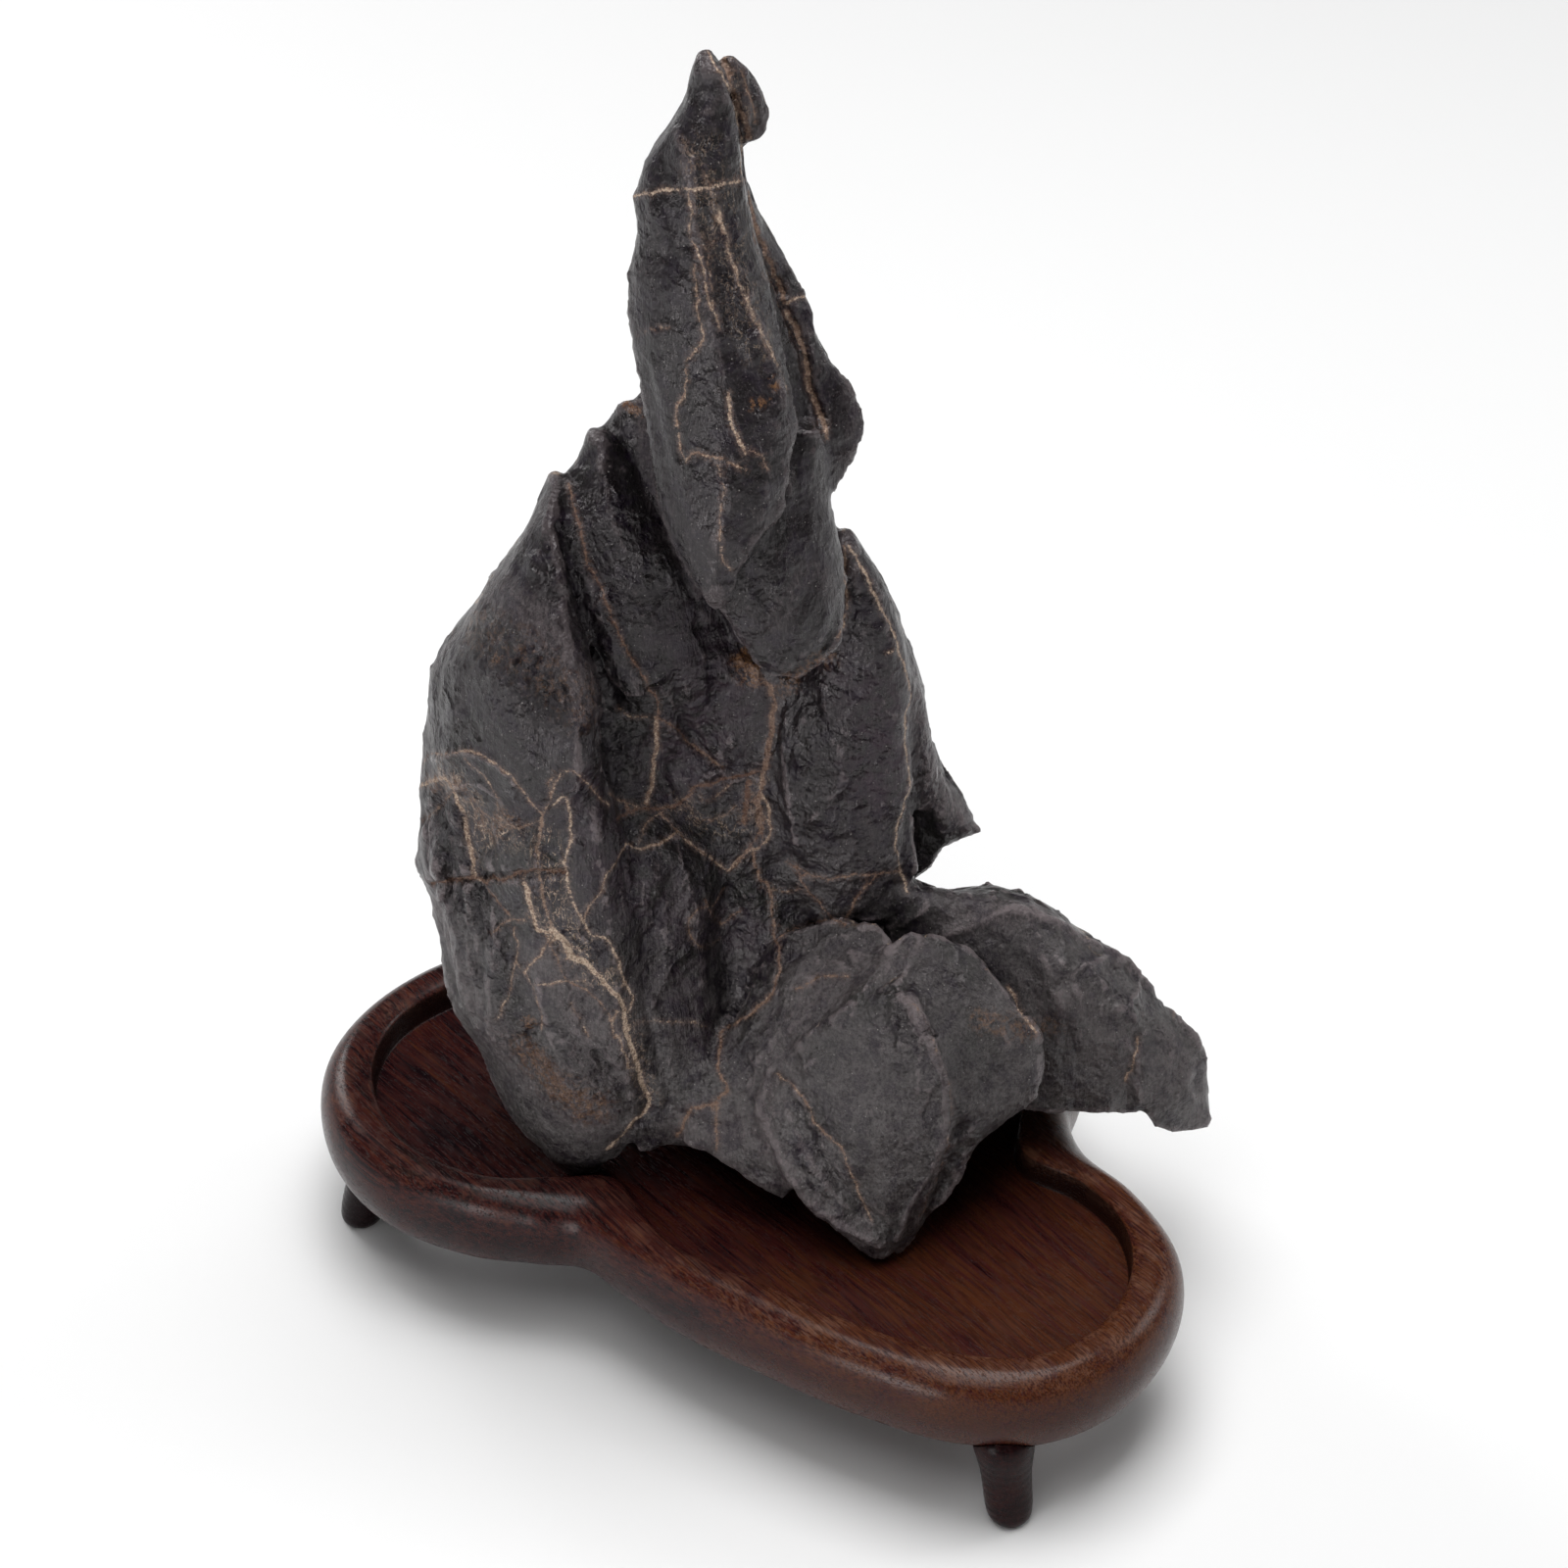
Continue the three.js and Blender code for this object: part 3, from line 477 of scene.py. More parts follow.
# Stains, worn patches and patches of painted highlight by kind: radius in mm, strength, and points
# along the patch
PATCHES = {
    "ochre": [
        (8.0, 0.3, [(480, 640), (520, 660), (560, 690), (598, 722)]),
        (1.9, 1.0, [(540, 1040), (540, 1048)]),
        (1.2, 0.9, [(529, 1075), (533, 1077)]),
        (1.2, 0.9, [(550, 1076), (554, 1078)]),
        (2.2, 0.6, [(571, 1105), (590, 1120)]),
        (8.0, 0.65, [(540, 1075), (570, 1110), (600, 1130)]),
        (3.4, 1.0, [(758, 681), (767, 692)]),
        (1.5, 0.9, [(790, 388), (791, 396)]),
        (1.2, 0.9, [(781, 410), (770, 413)]),
        (2.0, 0.9, [(640, 412), (650, 420)]),
        (1.3, 0.8, [(503, 670), (506, 674)]),
        (4.0, 0.5, [(440, 800), (470, 800), (500, 850), (520, 830)]),
        (3.5, 0.5, [(836, 676), (850, 668), (800, 700)]),
        (4.0, 0.4, [(1000, 1040), (1040, 1050), (1074, 1046)]),
    ],
    "pale": [
        (4.0, 0.55, [(548, 930), (566, 950), (590, 980), (612, 1000)]),
        (3.0, 0.45, [(470, 800), (478, 840), (484, 880)]),
        (2.5, 0.45, [(742, 60), (750, 90), (760, 120)]),
        (6.0, 0.4, [(716, 160), (724, 200), (744, 240), (756, 300), (776, 350)]),
        (5.0, 0.9, [(556, 860), (562, 900), (560, 930), (584, 960), (612, 1000)]),
        (5.0, 0.8, [(452, 790), (480, 810), (490, 850), (520, 850)]),
        (3.0, 0.8, [(640, 1040), (652, 1090), (664, 1124)]),
        (3.0, 0.6, [(690, 820), (720, 840), (760, 840), (780, 800)]),
    ],
    # Worn paler patches, partly painted highlight on lit rims and on the nose's rim where floor
    # light falls
    "rubbed_and_lit": [
        (3.5, 0.8, [(930, 715), (942, 760), (952, 820)]),
        (5.0, 0.7, [(820, 1230), (870, 1262), (900, 1276)]),
        (2.6, 1.0, [(654, 400), (664, 487), (688, 557), (717, 603), (735, 619)]),
        (1.6, 0.9, [(806, 410), (806, 470), (798, 512), (775, 545), (752, 577)]),
        (5.0, 1.0, [(778, 1110), (782, 1160), (806, 1206), (840, 1240), (884, 1266)]),
        (1.5, 0.6, [(926, 1018), (956, 1072), (970, 1120), (964, 1179), (937, 1248)]),
        (2.2, 1.0, [(965, 954), (1039, 930), (1100, 954), (1162, 997), (1223, 1065)]),
        (2.2, 0.7, [(566, 490), (540, 540), (507, 592), (470, 640), (445, 680)]),
        (4.0, 0.7, [(700, 1150), (760, 1200), (800, 1228)]),
        (5.0, 0.7, [(936, 700), (948, 760), (962, 806), (985, 840)]),
        (6.0, 0.9, [(499, 595), (537, 624), (578, 665), (605, 712)]),
        (6.0, 0.8, [(440, 850), (450, 930), (470, 1000), (510, 1060)]),
        (11.0, 0.9, [(510, 1060), (530, 1080), (570, 1110), (600, 1140)]),
        (8.0, 0.5, [(560, 980), (600, 1040), (620, 1100)]),
        (8.0, 0.5, [(700, 1150), (760, 1150), (830, 1010), (900, 980)]),
        (9.0, 0.45, [(1060, 1020), (1130, 1060), (1190, 1100)]),
        (5.0, 0.6, [(980, 940), (1060, 925)]),
        (3.0, 0.7, [(792, 640), (812, 600), (836, 580), (850, 610)]),
        (3.0, 0.6, [(862, 470), (874, 430), (868, 400)]),
        (2.0, 0.6, [(640, 230), (646, 300), (640, 360)]),
        (3.0, 0.5, [(940, 960), (900, 985), (850, 1020)]),
        (4.0, 0.6, [(1190, 1060), (1222, 1110), (1220, 1140)]),
    ],
    "maroon": [
        (12.0, 0.8, [(860, 700), (900, 740), (890, 800)]),
        (12.0, 0.7, [(700, 640), (740, 700), (690, 780)]),
        (9.0, 0.6, [(600, 800), (640, 900), (760, 960)]),
        (9.0, 0.5, [(700, 1000), (720, 1060)]),
    ],
    "green": [
        (9.0, 0.8, [(832, 725), (846, 826)]),
        (12.0, 0.5, [(760, 590), (800, 640)]),
        (12.0, 0.4, [(460, 730), (540, 780)]),
    ],
    "grain": [
        (17.0, 1.0, [(850, 1080), (900, 1140), (900, 1200), (1000, 1060), (1010, 1120)]),
        (13.0, 0.8, [(850, 990), (900, 960), (780, 1090), (740, 1160)]),
        (15.0, 0.8, [(1000, 950), (1080, 1000), (1120, 1060), (1190, 1100)]),
        (10.0, 0.5, [(690, 900), (700, 940)]),
        (14.0, 1.0, [(470, 960), (500, 1080), (560, 1140), (610, 1165)]),
        (12.0, 0.8, [(600, 1000), (620, 1080)]),
    ],
    "pitted": [
        (10.0, 1.0, [(530, 1070), (560, 1100), (600, 1120), (600, 1090)]),
        (9.0, 0.7, [(490, 650), (540, 680), (590, 716)]),
    ],
    "folded": [
        (13.0, 1.2, [(450, 850), (470, 920), (490, 980), (500, 1040)]),
        (8.0, 0.5, [(520, 850), (540, 900)]),
        (7.0, 0.3, [(648, 700), (645, 790)]),
        (5.0, 0.5, [(940, 720), (955, 800), (975, 840)]),
    ],
    "chipped": [
        (11.0, 0.3, [(830, 710), (850, 760), (840, 830), (880, 730)]),
        (9.0, 0.3, [(735, 740), (740, 830), (760, 900)]),
        (11.0, 0.55, [(640, 850), (660, 900), (700, 880), (690, 960)]),
        (9.0, 0.5, [(590, 960), (600, 1060)]),
        (8.0, 0.5, [(1010, 1080), (970, 1190), (920, 1010)]),
        (10.0, 0.6, [(1090, 1000), (1160, 1060), (1200, 1110)]),
        (9.0, 0.6, [(820, 990), (880, 970), (760, 1130)]),
    ],
}


# Stretches of a line are drawn in this many steps, and waver in waves of these lengths and shares
CURVE_STEPS = 12
WAVES = ((9, 0.7), (4, 0.3))


def through(points, count, closed):
    """A smooth curve through the points, as count places for each stretch."""
    points = np.array(points, float)
    if closed:
        ends = np.concatenate([points[-1:], points, points[:2]])
    else:
        first, last = 2 * points[:1] - points[1:2], 2 * points[-1:] - points[-2:-1]
        ends = np.concatenate([first, points, last])
    steps = np.arange(count) / count
    places = []
    for before, start, end, after in zip(ends, ends[1:], ends[2:], ends[3:]):
        knots = np.cumsum([0] + [max(math.dist(a, b), 1e-6) ** 0.5
                                 for a, b in ((before, start), (start, end), (end, after))])
        leave = (start - before) / (knots[1] - knots[0]) - (end - before) / (knots[2] - knots[0])
        leave += (end - start) / (knots[2] - knots[1])
        arrive = (end - start) / (knots[2] - knots[1]) - (after - start) / (knots[3] - knots[1])
        arrive += (after - end) / (knots[3] - knots[2])
        stretch = knots[2] - knots[1]
        for t in steps:
            places.append(
                start * (2 * t**3 - 3 * t**2 + 1) + end * (3 * t**2 - 2 * t**3)
                + leave * stretch * (t**3 - 2 * t**2 + t) + arrive * stretch * (t**3 - t**2)
            )
    if not closed:
        places.append(points[-1])
    return np.array(places)


def traced(tree, line, step=1.2, waver=0.0):
    """The places on the stone that a line of the picture passes over, seen from the camera."""
    curve = through(line, CURVE_STEPS, False)
    gaps = np.linalg.norm(np.diff(curve, axis=0), axis=1)
    along = np.concatenate([[0], np.cumsum(gaps)])
    stops = np.linspace(0, along[-1], max(2, round(along[-1] / step)))
    points = np.stack([np.interp(stops, along, curve[:, axis]) for axis in (0, 1)], axis=1)
    spots = np.column_stack([points, np.zeros(len(points))])
    for axis in (0, 1):
        for size, share in WAVES:
            points[:, axis] += smooth_noise(spots / size, 101 + axis + size) * waver * share
    hits = [tree.ray_cast(Vector(EYE), sight_line(point))[0] for point in points]
    return [np.array(hit) for hit in hits if hit is not None]


# Stone

REMESH_SIZE = 1.05
FIRST_ROUNDS = 3
WEAR_ROUNDS = 60
WEAR_STEP = 0.5
# The bend, in mm, from which a crease or a rim starts to stay crisp, and the one that stays so
CRISP_BENDS = (0.045, 0.1)
CRISP_SHARE = 0.97
# Wear shrinks the stone by about this much, in mm
REGAINED = 0.6
KEPT_SHARE = 0.3
# How far a face looks towards the camera when it starts to be seen, and when it is seen well
SEEN_FACING = (-0.25, 0.2)
# The unseen sides are chipped all over, less so from the neck up
BACK_CHIPPED = 0.6
SPIRE_CHIPPED_LESS = 0.35
NECK_HEIGHTS = (180, 260)
LEAST_CHIPPED = 0.1
# A patch is full within the first share of its radius, and gone at the second
PATCH_CORE = 0.3
PATCH_SPREAD = 1.6
# A crease wavers by this much, in points of the picture, and its width in waves of this length
# and share
CREASE_WAVER = 2.0
CREASE_WAVE = 4
CREASE_UNEVEN = 0.3
# How many half widths from its line a crease reaches
CREASE_REACH = 3
# The relief fades out towards the seat, down to a share of it
SEAT_FADE = 4
SEAT_RELIEF = 0.1
# Rounds of smoothing that tell narrow, small and large hollows apart
HOLLOW_ROUNDS = (3, 7, 50)
HOLLOW_STEP = 0.9
VEIN_WAVER = 2.2
# How far beside a vein the mesh is finer, and its edges there
VEIN_REACH = 1.1
VEIN_EDGE = 0.6
# Points within this share of an edge are drawn this far onto the vein's line, and are this far off
VEIN_SNAP = 0.4
SNAPPED, LEFT_OFF = 0.8, 0.2
# A vein's lip past its own width, and how far it stands out or sinks in, by turns of this length
VEIN_LIP = 0.15
VEIN_RISE = 0.28
VEIN_SINK = 0.12
VEIN_TURN = 3.5
FARTHEST = 12.0
# A corner under the nose that is rounded off, in the picture's points
BLUNTED = (800, 1222)
BLUNT_REACH = 26

# Across, forward and up, the stone's bedding
BEDDING = np.stack([ACROSS, FORWARD, np.array([0.0, 0.0, 1.0])])


def picture_places(points):
    """Where the camera sees the points, in the picture's own points."""
    away = points - EYE
    depth = -away @ BACK
    scale = PICTURE / VIEW_WIDTH * VIEW_DISTANCE
    return np.stack([away @ ACROSS, -(away @ UP)], axis=1) / depth[:, None] * scale + PICTURE / 2


def worn(points, triangles):
    """Rounds the broad faces and keeps the slabs' rims and the creases between them crisp."""
    edges, _ = edges_of(triangles, len(points))
    seat = points[:, 2].min()
    for _ in range(FIRST_ROUNDS):
        points = points + (neighbour_mean(points, edges) - points) * WEAR_STEP
    step = neighbour_mean(points, edges) - points
    bend = np.abs(np.einsum("ij,ij->i", step, normals_of(points, triangles)))
    bend = np.maximum(bend, neighbour_mean(bend, edges))
    soft = 1 - CRISP_SHARE * ramp(bend, *CRISP_BENDS)
    blunt = np.linalg.norm(picture_places(points) - BLUNTED, axis=1) < BLUNT_REACH
    soft[blunt] = 1
    for _ in range(WEAR_ROUNDS):
        points = points + (neighbour_mean(points, edges) - points) * WEAR_STEP * soft[:, None]
    points = points + normals_of(points, triangles) * REGAINED
    points[:, 2] = np.maximum(points[:, 2], seat)
    return points


# Weathering: each kind of relief's size across and its height, in mm
SWELL_SIZE, SWELL_HEIGHT = 26, 0.8
WANDER_SIZE, WANDER_REACH = 9, 3
CHIP_SIZE, CHIP_HEIGHT = 13, 1.6
FACET_SIZE, FACET_HEIGHT = 15, 2.0
SMALL_FACET_SIZE, SMALL_FACET_HEIGHT = 6, 0.9
FOLD_SIZE, FOLD_HEIGHT = 7.5, 2.4
SMALL_FOLD_SIZE, SMALL_FOLD_HEIGHT = 4, 0.9
RIDGE_SIZE, RIDGE_HEIGHT = 9, 1.5
FURROW_SIZE, FURROW_HEIGHT = 6, 1.0
PIT_SIZE, PIT_DEPTH = 3.2, 1.0
FINE_SIZE, FINE_HEIGHT = 3.2, 0.2


def drawn_out(places, share):
    """Places that make a pattern 1 / share times longer along the upright bedding."""
    return places * np.array([1, 1, share])


def natural_relief(points, chipped, folded, pitted):
    """How far in or out, in mm, weathering has moved the surface, each kind about 0 on the mean."""
    places = points @ BEDDING.T
    swell = rough_noise(drawn_out(places, 0.5) / SWELL_SIZE, 11, 3) * SWELL_HEIGHT
    wander = np.stack([smooth_noise(places / WANDER_SIZE, seed) for seed in (21, 22, 23)], axis=1)
    stray = places + wander * WANDER_REACH
    chip_gap = cell_noise(drawn_out(stray, 0.55) / CHIP_SIZE, 31)
    chips = (chip_gap**2 - 0.3) * CHIP_HEIGHT
    facets = flakes(drawn_out(stray, 0.5) / FACET_SIZE, 111) * FACET_HEIGHT
    small_facets = flakes(drawn_out(stray, 0.6) / SMALL_FACET_SIZE, 121) * SMALL_FACET_HEIGHT
    folds = np.abs(smooth_noise(drawn_out(stray, 0.2) / FOLD_SIZE, 71)) ** 0.8
    small_folds = np.abs(smooth_noise(drawn_out(stray, 0.35) / SMALL_FOLD_SIZE, 73))
    creased = folds * FOLD_HEIGHT + small_folds * SMALL_FOLD_HEIGHT - 0.8
    pit_gap = cell_noise(places / PIT_SIZE, 141)
    pits = (ramp(pit_gap, 0.1, 0.6) - 0.7) * PIT_DEPTH
    fine = rough_noise(places / FINE_SIZE, 81, 3) * FINE_HEIGHT
    rough = (chips + facets + small_facets) * chipped
    ridges = 0.3 - np.abs(smooth_noise(drawn_out(stray, 0.6) / RIDGE_SIZE, 151))
    furrows = np.abs(smooth_noise(drawn_out(stray, 0.7) / FURROW_SIZE, 153)) - 0.3
    crumpled = (ridges * RIDGE_HEIGHT + furrows * FURROW_HEIGHT) * (0.2 + chipped * 0.6)
    return swell + rough + crumpled + creased * (0.08 + folded) + pits * pitted + fine


def patch_weights(points, tree):
    """How much each kind of patch shows at each point."""
    weights = {kind: np.zeros(len(points)) for kind in PATCHES}
    for kind, patches in PATCHES.items():
        for radius, strength, line in patches:
            spots = np.array(traced(tree, line, step=radius))
            gaps = np.min([np.linalg.norm(points - spot, axis=1) for spot in spots], axis=0)
            inside = 1 - ramp(gaps, radius * PATCH_CORE, radius * PATCH_SPREAD)
            weights[kind] = np.maximum(weights[kind], strength * inside)
    return weights


def carved(points, tree):
    """The creases' and ridges' relief, in mm."""
    relief = np.zeros(len(points))
    for depth, half_width, line in CREASES:
        spots = traced(tree, line, waver=CREASE_WAVER)
        low = np.min(spots, axis=0) - half_width * CREASE_REACH
        high = np.max(spots, axis=0) + half_width * CREASE_REACH
        near = np.flatnonzero(np.all((points > low) & (points < high), axis=1))
        _, gaps = nearest_of(spots, points[near])
        bent = smooth_noise(points[near] / CREASE_WAVE, 91) * CREASE_UNEVEN * half_width
        relief[near] -= depth * np.exp(-(((gaps + bent) / half_width) ** 2))
    return relief


def vein_samples(tree):
    """Every vein's places with their half width, tone and strength."""
    places = []
    traits = []
    for half_width, tone, strength, line in VEINS:
        found = traced(tree, line, waver=VEIN_WAVER)
        places += found
        traits += [(half_width, tone, strength)] * len(found)
    return np.array(places), np.array(traits)


def hollowness(points, triangles):
    """Above 0 in hollows and below 0 on ridges, at three sizes."""
    edges, _ = edges_of(triangles, len(points))
    normals = normals_of(points, triangles)
    spread = points
    found = []
    for rounds in HOLLOW_ROUNDS:
        for _ in range(rounds):
            spread = spread + (neighbour_mean(spread, edges) - spread) * HOLLOW_STEP
        found.append(np.einsum("ij,ij->i", spread - points, normals))
    return found


def store(mesh, name, values):
    attribute = mesh.attributes.new(name, "FLOAT", "POINT")
    attribute.data.foreach_set("value", np.ascontiguousarray(values, np.float32))


def seated(points):
    """The points, with none under the stone's seat."""
    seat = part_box("stone")[0].z / MM
    points[:, 2] = np.maximum(points[:, 2], seat)
    return points


def weathered(node):
    """The worn, creased and chipped stone, with its patches' weights at each point."""
    points, triangles = with_modifier(
        node.data.copy(), "REMESH", mode="VOXEL", voxel_size=REMESH_SIZE * MM, adaptivity=0
    )
    points = worn(points, triangles)
    tree = BVHTree.FromPolygons(points.tolist(), triangles.tolist())
    weights = patch_weights(points, tree)
    normals = normals_of(points, triangles)
    unseen = 1 - ramp(normals @ FORWARD, *SEEN_FACING)
    back_chipped = BACK_CHIPPED - SPIRE_CHIPPED_LESS * ramp(points[:, 2], *NECK_HEIGHTS)
    chipped = np.maximum(weights["chipped"], unseen * back_chipped)
    chipped = np.maximum(chipped, LEAST_CHIPPED)
    relief = natural_relief(points, chipped, weights["folded"], weights["pitted"])
    relief += carved(points, tree)
    foot = points[:, 2].min()
    full = ramp(points[:, 2], foot, foot + SEAT_FADE)
    relief *= full * (1 - SEAT_RELIEF) + SEAT_RELIEF
    return seated(points + normals * relief[:, None]), triangles, weights


def finer_beside(spots, points, triangles):
    """The mesh with short edges beside the veins."""

    def longest_edge(places):
        _, gaps = nearest_of(spots, places)
        return np.where(gaps < VEIN_REACH, VEIN_EDGE, math.inf)

    for _ in range(2):
        points, triangles = split_long_edges(points, triangles, longest_edge)
    return points, triangles


def make_stone(node):
    whole, triangles, weights = weathered(node)
    hollows = hollowness(whole, triangles)
    points, triangles = with_modifier(
        mesh_from("whole_stone", whole, triangles), "DECIMATE", ratio=KEPT_SHARE
    )
    tree = BVHTree.FromPolygons(points.tolist(), triangles.tolist())
    spots, traits = vein_samples(tree)
    points, triangles = finer_beside(spots, points, triangles)

    # Points close to a vein's line are drawn most of the way onto it, and the vein stands out or in
    number, gap = nearest_of(spots, points)
    half_width, tone, strength = traits[number].T
    close = gap < VEIN_EDGE * VEIN_SNAP
    points[close] += (spots[number[close]] - points[close]) * SNAPPED
    gap[close] *= LEFT_OFF
    normals = normals_of(points, triangles)
    raised = smooth_noise(points / VEIN_TURN, 95)
    lip = np.exp(-((gap / (half_width + VEIN_LIP)) ** 2)) * strength
    points = seated(points + normals * (lip * (raised * VEIN_RISE - VEIN_SINK))[:, None])

    mesh = mesh_from("scholar_stone", points, triangles)
    kept, _ = nearest_of(whole, points)
    for name, values in zip(("sharp_hollow", "small_hollow", "large_hollow"), hollows):
        store(mesh, name, values[kept])
    store(mesh, "vein_gap", np.minimum(gap - half_width, FARTHEST))
    store(mesh, "vein_tone", tone)
    store(mesh, "vein_strength", strength)
    store(mesh, "seen_side", ramp(normals @ FORWARD, *SEEN_FACING))
    for kind, values in weights.items():
        store(mesh, kind, values[kept])
    mesh.materials.append(stone_material())
    return object_from("scholar_stone", mesh)


# Stand

# The tray as the CAD model draws it, round from the front waist to the right, in mm: its outermost
# line and, opposite each point, the rim's inner edge
TRAY_OUTER = [
    (-30, -80), (-12, -84), (8, -88), (40, -92), (74, -93), (106, -89), (130, -75), (143, -51),
    (144, -22), (135, 0), (112, 18), (88, 29), (75, 42), (68, 64), (50, 85), (18, 96), (-16, 94),
    (-44, 80), (-62, 59), (-88, 48), (-116, 32), (-136, 6), (-144, -26), (-140, -54), (-122, -78),
    (-96, -91), (-66, -91), (-45, -85),
]
TRAY_INNER = [
    (-31, -58), (-18, -65), (0, -75), (36, -77), (70, -78), (96, -75), (117, -65), (128, -46),
    (127, -20), (115, 0), (96, 11), (72, 15), (61, 36), (52, 58), (38, 73), (13, 81), (-12, 79),
    (-32, 67), (-49, 47), (-82, 32), (-106, 18), (-122, -2), (-129, -26), (-124, -49),
    (-109, -67), (-90, -77), (-65, -77), (-45, -66),
]
# The rim's section: how far out from the inner edge, and height as a share of the tray's
ROLL_SECTION = [
    (0.05, 0), (0.5, 0.012), (0.74, 0.08), (0.9, 0.21), (0.98, 0.37), (1, 0.52), (0.975, 0.68),
    (0.89, 0.82), (0.75, 0.92), (0.56, 0.985), (0.38, 1), (0.2, 0.99), (0.07, 0.965), (0.01, 0.93),
    (-0.005, 0.88), (-0.012, 0.8), (-0.02, 0.7), (-0.045, 0.662), (-0.12, 0.655), (-0.2, 0.655),
]
# Which steps of the section are the recess's wall
WALL_STEPS = (13, 17)
TRAY_STATIONS = 336
SECTION_STEPS = 4
LEG_OUTLINE = [
    (0, 3.8), (1, 5.4), (3, 6.6), (7, 7.2), (13, 7.4), (19, 7.7), (24, 8.4), (28.5, 9.2), (32, 9),
    (35, 7.2), (37, 4),
]
LEGS = {
    "leg_front_left": ((-118, -58), (-124, -61)),
    "leg_front_right": ((115, -76), (118, -76)),
    "leg_back_right": ((42, 66), (44, 69)),
    "leg_back_left": ((-48, 66), (-51, 69)),
}
LEG_SIDES = 64
LEG_STEPS = 6
LEG_GAP = 0.45
LEG_FLARE = 30
# Faint rings left by turning: how far they stand out, radians for each mm, and where they
# start and end up the leg
RING_HEIGHT = 0.06
RING_TURN = 2.1
RING_START = (3, 8)
RING_END = (24, 28)
# The waves that carving leaves on the tray: how long they are along each axis and how deep
CARVED_SIZE = (30, 30, 16)
CARVED_DEPTH = 0.12
CARVED_FADE = 3
# From which angle between faces an edge is shaded sharp, in degrees
TRAY_SHARP = 40
LEG_SHARP = 50


def tray_rings():
    """The tray's surface, ring by ring from under the rim round to the recess's floor."""
    low, high = (np.array(corner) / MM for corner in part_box("tray"))
    per_stretch = TRAY_STATIONS // len(TRAY_OUTER)
    outer = through(TRAY_OUTER, per_stretch, True)
    inner = through(TRAY_INNER, per_stretch, True)
    shift = (low + high)[:2] / 2 - (outer.min(axis=0) + outer.max(axis=0)) / 2
    rings = []
    for outward, height in through(ROLL_SECTION, SECTION_STEPS, False):
        plan = inner + (outer - inner) * outward + shift
        z = low[2] + max(height, 0) * (high[2] - low[2])
        rings.append(np.column_stack([plan, np.full(len(plan), z)]))
    return np.array(rings), shift


def hand_carved(points):
    """The slight waves that a gouge and scraper leave, in and out of the rim."""
    wave = rough_noise(points / np.array(CARVED_SIZE), 131, 2) * CARVED_DEPTH
    underside = points[:, 2].min()
    return wave * ramp(points[:, 2], underside, underside + CARVED_FADE)


def lofted(rings):
    """A closed mesh's faces: bands between rings and a face over each end."""
    ring_count, side_count = rings.shape[:2]
    here = np.arange(side_count)
    there = np.roll(here, -1)
    faces = []
    for ring in range(ring_count - 1):
        low, high = ring * side_count, (ring + 1) * side_count
        faces += np.stack([low + here, low + there, high + there, high + here], axis=1).tolist()
    faces.append(here[::-1].tolist())
    faces.append(((ring_count - 1) * side_count + here).tolist())
    return faces


def solid_of_rings(name, rings, crease_degrees):
    mesh = bpy.data.meshes.new(name)
    mesh.from_pydata((rings.reshape(-1, 3) * MM).tolist(), [], lofted(rings))
    shape = bmesh.new()
    shape.from_mesh(mesh)
    wide = [face for face in shape.faces if len(face.verts) > 4]
    bmesh.ops.triangulate(shape, faces=wide)
    shape.to_mesh(mesh)
    shape.free()
    mesh.shade_smooth()
    mesh.set_sharp_from_angle(angle=math.radians(crease_degrees))
    return object_from(name, mesh)


def make_tray():
    rings, _ = tray_rings()
    flat = rings.reshape(-1, 3)
    round_about = np.roll(rings, -1, axis=1) - np.roll(rings, 1, axis=1)
    upward = np.gradient(rings, axis=0)
    outward = np.cross(round_about, upward).reshape(-1, 3)
    outward /= np.maximum(np.linalg.norm(outward, axis=1, keepdims=True), 1e-9)
    moved = flat + outward * np.minimum(hand_carved(flat), 0)[:, None]
    tray = solid_of_rings("carved_tray", moved.reshape(rings.shape), TRAY_SHARP)
    first, last = (step * SECTION_STEPS for step in WALL_STEPS)
    ring_numbers = np.repeat(np.arange(len(rings)), TRAY_STATIONS)
    store(tray.data, "recess_wall", (ring_numbers >= first) & (ring_numbers <= last))
    tray.data.materials.append(wood_material("rosewood_tray", 0.0))
    return tray


def make_leg(name, top, foot, shift, tray_tree):
    rows = []
    turns = np.arange(LEG_SIDES) * 2 * math.pi / LEG_SIDES
    circle = np.stack([np.cos(turns), np.sin(turns)], axis=1)
    for height, radius in through(LEG_OUTLINE, LEG_STEPS, False):
        lean = min(height / LEG_FLARE, 1)
        middle = np.array(foot) + (np.array(top) - np.array(foot)) * lean + shift
        shown = ramp(height, *RING_START) * (1 - ramp(height, *RING_END))
        turned = RING_HEIGHT * math.sin(height * RING_TURN) * shown
        around = middle + circle * (radius + turned)
        rows.append(np.column_stack([around, np.full(LEG_SIDES, height)]))
    rings = np.array(rows)
    for place in rings.reshape(-1, 3):
        under = Vector((place[0], place[1], -5))
        wood = tray_tree.ray_cast(under, Vector((0, 0, 1)))[0]
        if wood is not None:
            place[2] = min(place[2], wood.z - LEG_GAP)
    leg = solid_of_rings("turned_" + name, rings, LEG_SHARP)
    leg.data.materials.append(wood_material("rosewood_" + name, 1.0))
    return leg


# Materials


